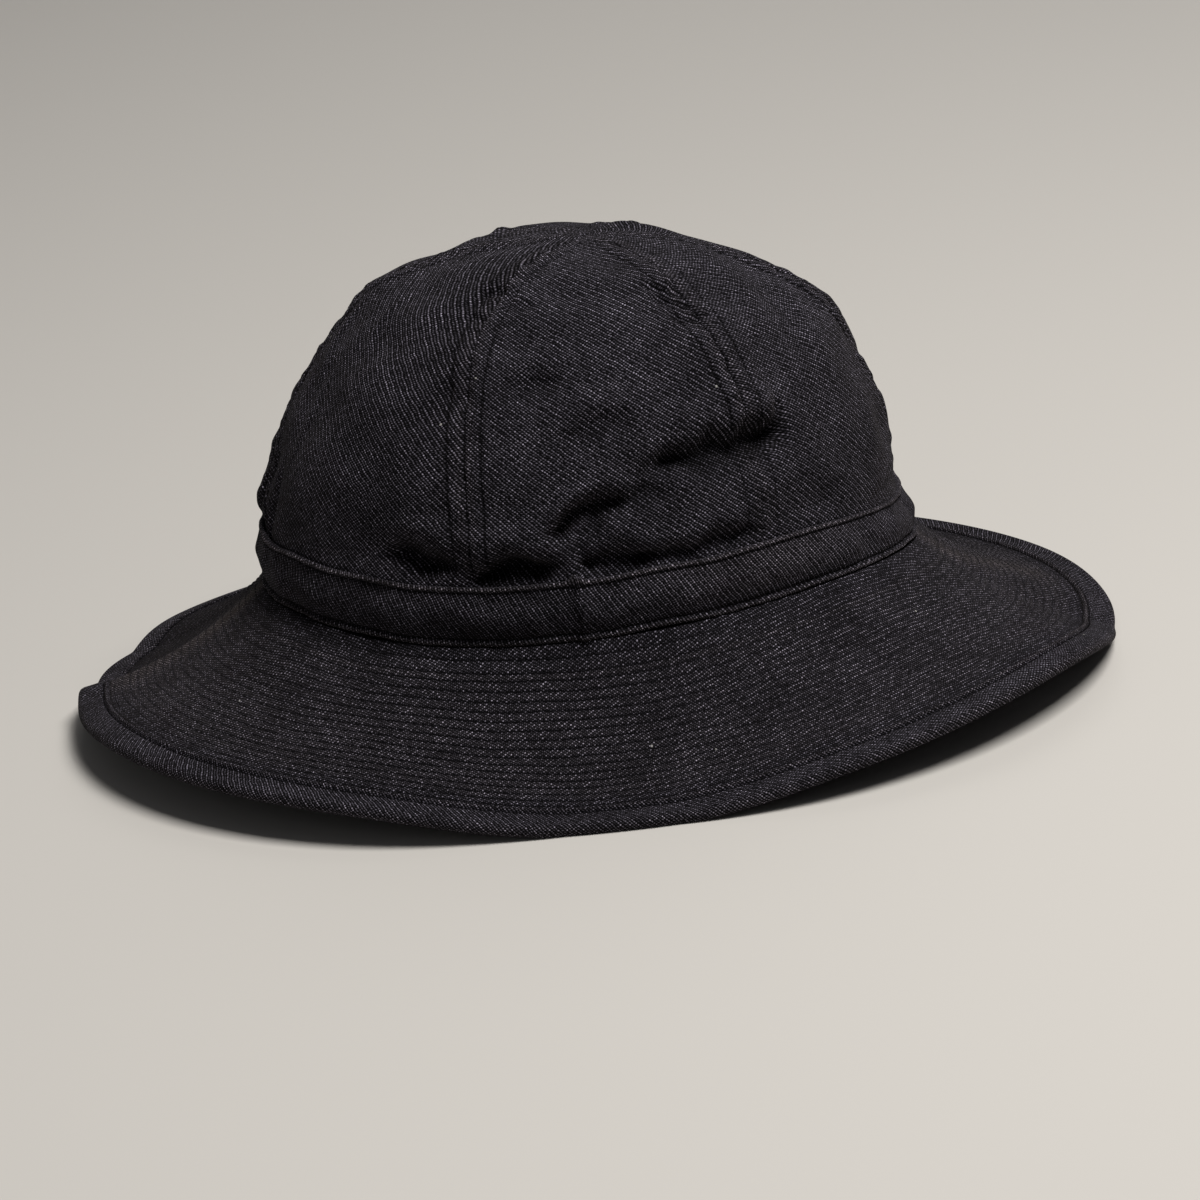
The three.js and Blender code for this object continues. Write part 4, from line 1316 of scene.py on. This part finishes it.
# %% The twill group
def twill_group():
    """Colour, thread height and roughness of a twill, worked out from its weave coordinates."""
    inputs = {"Weave": (0, 0, 0), "Painted Shade": 0.0, "Wear And Light": 0.0, **TWILL_VALUES}
    outputs = {"Colour": "NodeSocketColor", "Height": "NodeSocketFloat", "Roughness": "NodeSocketFloat"}
    group, given, result = new_group("Twill weave", inputs, outputs)

    def calc(operation, *values):
        """A Math node on up to three sockets or numbers."""
        return wire(group, "ShaderNodeMath", dict(enumerate(values)), operation=operation)

    def level(name, value):
        """A value times the gain, plus the base, that the table of levels gives."""
        return calc("MULTIPLY_ADD", value, *LEVELS[name])

    def arch(value):
        """Half a sine wave: 0 at whole numbers, 1 halfway between them."""
        return calc("SINE", calc("MULTIPLY", value, np.pi))

    def noise(place, scale, detail, output="Fac", roughness=0.5):
        """Flat noise of about 1 / scale millimetres."""
        inputs = {"Vector": place, "Scale": scale, "Detail": detail, "Roughness": roughness}
        return wire(group, "ShaderNodeTexNoise", inputs, output, noise_dimensions="2D")

    def around_one(value, amount):
        """1 plus `amount` times how far a noise is from its middle."""
        return calc("MULTIPLY_ADD", calc("SUBTRACT", value, 0.5), amount, 1.0)

    # The place among the threads, after the cloth has wandered a little.
    flat = given["Weave"]
    drift = noise(flat, scale=0.22, detail=3.0, output="Color")
    shift = {0: drift, 1: (1.0, 1.0, 0.0), 2: flat}
    moved = wire(group, "ShaderNodeVectorMath", shift, operation="MULTIPLY_ADD")
    place = wire(group, "ShaderNodeSeparateXYZ", {0: moved}, "X")
    end = calc("DIVIDE", place, given["End Pitch"])
    number = calc("FLOOR", end)
    across = calc("FRACT", end)
    lag = wire(group, "ShaderNodeTexWhiteNoise", {"W": number}, "Value", noise_dimensions="1D")
    pick = calc("DIVIDE", place.node.outputs["Y"], given["Pick Pitch"])
    pick = calc("MULTIPLY_ADD", lag, PICK_LAG, pick)

    # The step of the twill. `line` is 1 on the diagonals where the weft shows and 0 on the ribs between.
    repeat = calc("ADD", given["Float Length"], 1.0)
    phase = calc("FLOORED_MODULO", calc("SUBTRACT", pick, number), repeat)
    shows_weft = calc("LESS_THAN", phase, 1.0)
    float_share = calc("DIVIDE", calc("SUBTRACT", phase, 1.0), given["Float Length"])
    diagonal = calc("MULTIPLY", calc("SUBTRACT", pick, end), calc("DIVIDE", 2 * np.pi, repeat))
    line = calc("MULTIPLY_ADD", calc("COSINE", diagonal), 0.5, 0.5)

    # Heights of the threads and of the whole weave.
    warp_along = calc("POWER", arch(float_share), THREAD_ROUND)
    warp_along = calc("MULTIPLY_ADD", warp_along, 1 - FLOAT_DIP, FLOAT_DIP)
    warp_height = calc("MULTIPLY", calc("POWER", arch(across), THREAD_ROUND), warp_along)
    weft_height = calc("MULTIPLY", calc("POWER", arch(phase), THREAD_ROUND), WEFT_HEIGHT)
    weft_height = calc("MULTIPLY", weft_height, calc("POWER", arch(across), WEFT_ROUND))
    threads = wire(group, "ShaderNodeMix", {0: shows_weft, 2: warp_height, 3: weft_height})
    rib = calc("MULTIPLY", calc("SUBTRACT", 1.0, line), RIB_HEIGHT)
    relief = calc("MULTIPLY_ADD", threads, 1 - RIB_HEIGHT, rib)

    # Chance: lighter and darker threads, single crossings, fuzz and large clouds.
    thread = wire(group, "ShaderNodeCombineXYZ", {0: number, 1: calc("MULTIPLY", pick, SLUB_RATE)})
    slub = noise(thread, scale=1.0, detail=1.0)
    crossing = wire(group, "ShaderNodeCombineXYZ", {0: number, 1: calc("FLOOR", pick)})
    chance = wire(group, "ShaderNodeTexWhiteNoise", {"Vector": crossing}, "Value", noise_dimensions="2D")
    fuzz = noise(moved, scale=1.9, detail=3.0, roughness=0.7)
    cloud = noise(flat, scale=0.06, detail=4.0)

    # How light the yarn is: specks of weft, glints on the floats and a soft line between ribs.
    speck = calc("MULTIPLY", calc("MULTIPLY", shows_weft, arch(phase)), arch(across))
    flash = level("weft light", calc("POWER", chance, 2.0))
    glint = calc("POWER", calc("MAXIMUM", arch(float_share), 0.0), GLINT_POWER)
    glint = calc("MULTIPLY", calc("MULTIPLY", glint, arch(across)), calc("SUBTRACT", 1.0, shows_weft))
    weaker = calc("MULTIPLY", level("float light", chance), given["Glint"])
    line_light = calc("MULTIPLY", calc("POWER", line, LINE_POWER), given["Rib Line"])
    light = calc("MULTIPLY_ADD", glint, weaker, calc("MULTIPLY_ADD", speck, flash, line_light))
    yarn = mix_colour(group, light, given["Warp"], given["Weft"], clamp=False)
    fuzzy = calc("MINIMUM", calc("MULTIPLY", given["Wear And Light"], GREYED["share"]), GREYED["most"])
    yarn = mix_colour(group, fuzzy, yarn, GREY_FUZZ)

    # How dark it gets: uneven dye, painted shade between threads and ribs, painted shade from the groove
    # mask, and lightening from the rubbing mask on worn cloth and painted highlights.
    uneven = around_one(slub, given["Unevenness"])
    mottle = around_one(cloud, calc("MULTIPLY", given["Unevenness"], CLOUD_SHARE))
    pile = calc("MAXIMUM", level("pile", fuzz), LEAST_PILE)
    flank = calc("POWER", calc("ABSOLUTE", calc("SINE", diagonal)), 2.0)
    flank = calc("SUBTRACT", 1.0, calc("MULTIPLY", flank, given["Furrow"]))
    lit = calc("MULTIPLY", level("between threads", threads), flank)
    tone = uneven
    for factor in (pile, mottle, lit, level("groove", given["Painted Shade"]), level("wear_and_light", given["Wear And Light"])):
        tone = calc("MULTIPLY", tone, factor)
    grey = wire(group, "ShaderNodeCombineColor", {0: tone, 1: tone, 2: tone})
    shaded = mix_colour(group, 1.0, yarn, grey, "MULTIPLY")
    faded = mix_colour(group, 1.0, shaded, WARM_WEAR_AND_LIGHT, "MULTIPLY")
    shaded = mix_colour(group, calc("MULTIPLY", given["Wear And Light"], FADED_SHARE), shaded, faded)
    lint = calc("GREATER_THAN", chance, LINT_CHANCE)
    plug(group, mix_colour(group, lint, shaded, PALE_LINT), result["Colour"])
    plug(group, calc("MULTIPLY_ADD", fuzz, FUZZ_HEIGHT, relief), result["Height"])
    plug(group, level("roughness", fuzz), result["Roughness"])
    return group


TWILL = twill_group()
print("twill group:", len(TWILL.nodes), "nodes")


# %% Cloth material
THREAD_RELIEF = 0.24     # millimetres from the top of a float to its lowest point
LOW_GLOSS = 0.03
COTTON_SHEEN = {
    "Specular IOR Level": LOW_GLOSS,
    "Sheen Weight": 0.025,
    "Sheen Roughness": 0.45,
    "Sheen Tint": (0.80, 0.68, 0.60, 1),
}


def new_material(name):
    """A new material with its node tree and its shader."""
    material = bpy.data.materials.new(name)
    material.use_nodes = True
    return material, material.node_tree, material.node_tree.nodes["Principled BSDF"]


def mask_of(tree, name):
    """The value of a mask that is stored with the mesh."""
    return wire(tree, "ShaderNodeAttribute", {}, "Fac", attribute_name=name)


def cloth_material(name, **changes):
    """Twill on the piece's weave map, with soft sheen for the fuzz that stands off cotton.

    `changes` are values of the twill that differ from the usual ones, such as float_length=2.0.
    """
    material, tree, shader = new_material(name)
    cloth = tree.nodes.new("ShaderNodeGroup")
    cloth.node_tree = TWILL
    values = TWILL_VALUES | {key.replace("_", " ").title(): value for key, value in changes.items()}
    values["Weave"] = wire(tree, "ShaderNodeUVMap", {}, uv_map="weave")
    # the groove mask brings painted shade; the rubbing mask brings worn cloth and painted highlights
    values["Painted Shade"], values["Wear And Light"] = mask_of(tree, "groove"), mask_of(tree, "wear_and_light")
    plug_all(tree, values, cloth)
    bump = {"Height": cloth.outputs["Height"], "Distance": THREAD_RELIEF * MM, "Strength": 1.0}
    surface = {
        "Base Color": cloth.outputs["Colour"],
        "Roughness": cloth.outputs["Roughness"],
        "Normal": wire(tree, "ShaderNodeBump", bump, "Normal"),
    }
    plug_all(tree, surface | COTTON_SHEEN, shader)
    return material


# %% Thread material
THREAD_BLACK = (0.0025, 0.0023, 0.003, 1)
THREAD_LIT = (0.009, 0.0083, 0.010, 1)
THREAD_FADED = (0.021, 0.019, 0.022, 1)
STRAND_RELIEF = 0.05     # millimetres that the strands of the thread stand up


def thread_material():
    """Black sewing thread: a plied cotton, so its strands wind round it and catch the light in turns."""
    material, tree, shader = new_material("sewing thread")
    flat = wire(tree, "ShaderNodeUVMap", {}, uv_map="weave")
    strands = wire(tree, "ShaderNodeTexWave", {"Vector": flat, "Scale": 1.1, "Distortion": 0.6}, "Fac",
                   wave_type="BANDS", bands_direction="DIAGONAL")
    # black thread with a painted highlight on every turn of its strands
    lit_strands = mix_colour(tree, strands, THREAD_BLACK, THREAD_LIT)
    bump = {"Height": strands, "Distance": STRAND_RELIEF * MM, "Strength": 0.8}
    surface = {
        "Base Color": mix_colour(tree, mask_of(tree, "faded"), lit_strands, THREAD_FADED),
        "Normal": wire(tree, "ShaderNodeBump", bump, "Normal"),
        "Roughness": 0.8,
        "Specular IOR Level": LOW_GLOSS,
    }
    plug_all(tree, surface, shader)
    return material


# %% Dress the pieces
def finish_with(material, *pieces):
    """Give the pieces this material."""
    for piece in pieces:
        piece.data.materials.append(material)
    print(material.name, "on", len(pieces), "pieces")


finish_with(cloth_material("crown denim", end_pitch=0.555, pick_pitch=0.682, rib_line=0.52), *panels)
finish_with(cloth_material("band denim", end_pitch=0.51, pick_pitch=0.63, rib_line=0.66), band)
brim_changes = {"end_pitch": 0.58, "pick_pitch": 0.66, "float_length": 2.0}
brim_looks = {"rib_line": 0.08, "unevenness": 0.40, "glint": 0.50, "furrow": 0.35}
finish_with(cloth_material("brim denim", **brim_changes, **brim_looks), brim)
finish_with(cloth_material("binding denim"), binding)
finish_with(thread_material(), crown_stitches, band_stitches, quilting, quilting_under, binding_stitches)

# %% [markdown]
# ## Studio
#
# A plain pale floor and large soft lights. The main light stands high on the
# wearer's left and towards the back, so the front of the crown falls off gently
# and every crease shows a dark underside, deepened by painted shade in the crease.

# %% Floor
FLOOR_REACH = 20.0       # metres from its middle to each side
FLOOR_SURFACE = {"Base Color": (0.60, 0.575, 0.54, 1), "Roughness": 0.9, "Specular IOR Level": 0.1}


def plain_floor():
    """A large pale square just under the brim."""
    square = [(-1, -1), (1, -1), (1, 1), (-1, 1)]
    mesh = bpy.data.meshes.new("floor")
    mesh.from_pydata([(x * FLOOR_REACH, y * FLOOR_REACH, 0) for x, y in square], [], [(0, 1, 2, 3)])
    floor = bpy.data.objects.new("floor", mesh)
    bpy.context.scene.collection.objects.link(floor)
    material, tree, shader = new_material("pale floor")
    plug_all(tree, FLOOR_SURFACE, shader)
    mesh.materials.append(material)
    return floor


floor = plain_floor()
print("floor", 2 * FLOOR_REACH, "metres square")

# %% Lights
HAT_MIDDLE = (0, 0, 0.08)
LIGHTS = named_rows(     # places and sizes in metres, powers in watts
    "name place size power colour",
    ("main light", (0.64, -0.48, 1.68), 0.8, 36, (1.0, 0.985, 0.96)),
    ("fill light", (-1.3, -1.4, 0.9), 1.2, 1.0, (0.96, 0.98, 1.0)),
    ("back light", (0.3, 1.5, 1.3), 1.3, 6, (1.0, 0.99, 0.97)),
)
DIM_ROOM = {"Color": (0.95, 0.96, 1.0, 1), "Strength": 0.07}


def soft_light(name, place, size, power, colour):
    """A square lamp at `place`, turned to face the hat; the bigger it is, the softer its shadow."""
    data = bpy.data.lights.new(name, "AREA")
    data.shape = "SQUARE"
    data.size = size
    data.energy = power
    data.color = colour
    lamp = bpy.data.objects.new(name, data)
    bpy.context.scene.collection.objects.link(lamp)
    lamp.location = place
    lamp.rotation_mode = "QUATERNION"
    lamp.rotation_quaternion = (Vector(HAT_MIDDLE) - Vector(place)).to_track_quat("-Z", "Y")
    return lamp


lamps = [soft_light(**row) for row in LIGHTS]
print("lamps:", ", ".join(lamp.name for lamp in lamps))

world = bpy.data.worlds.new("studio")
world.use_nodes = True
plug_all(world.node_tree, DIM_ROOM, world.node_tree.nodes["Background"])
bpy.context.scene.world = world
bpy.context.scene.view_settings.view_transform = "Standard"

# %% [markdown]
# ## Camera
#
# The camera looks at the wearer's left side from a little above, through a long
# lens, and leans slightly, so the hat sits at an easy angle in the picture.

# %% Camera
CAMERA_RISE = 19.6       # degrees above level
CAMERA_LEAN = 6.14       # degrees that the camera is rolled to its right
CAMERA_DISTANCE = 1500.0
LENS = 139.7
SENSOR_WIDTH = 36        # millimetres, as the lens is
NEAREST_SEEN = 0.05      # metres
AIM_FROM_BAND = np.array([1.4, 0.0, -19.8])


def make_camera():
    """Stand back along the line of sight, face the aim point and roll about that line."""
    aim = Vector((OVAL_MIDDLE + [0, 0, BAND_FOOT] + AIM_FROM_BAND) * MM)
    rise = np.radians(CAMERA_RISE)
    back = Vector((0, -np.cos(rise), np.sin(rise)))
    data = bpy.data.cameras.new("camera")
    data.lens = LENS
    data.sensor_width = SENSOR_WIDTH
    data.clip_start = NEAREST_SEEN
    camera = bpy.data.objects.new("camera", data)
    bpy.context.scene.collection.objects.link(camera)
    camera.location = aim + back * CAMERA_DISTANCE * MM
    camera.rotation_mode = "QUATERNION"
    roll = Quaternion((0, 0, 1), -np.radians(CAMERA_LEAN))
    camera.rotation_quaternion = (-back).to_track_quat("-Z", "Y") @ roll
    return camera


bpy.context.scene.camera = make_camera()
print("camera at", [round(v, 3) for v in bpy.context.scene.camera.location], "metres")
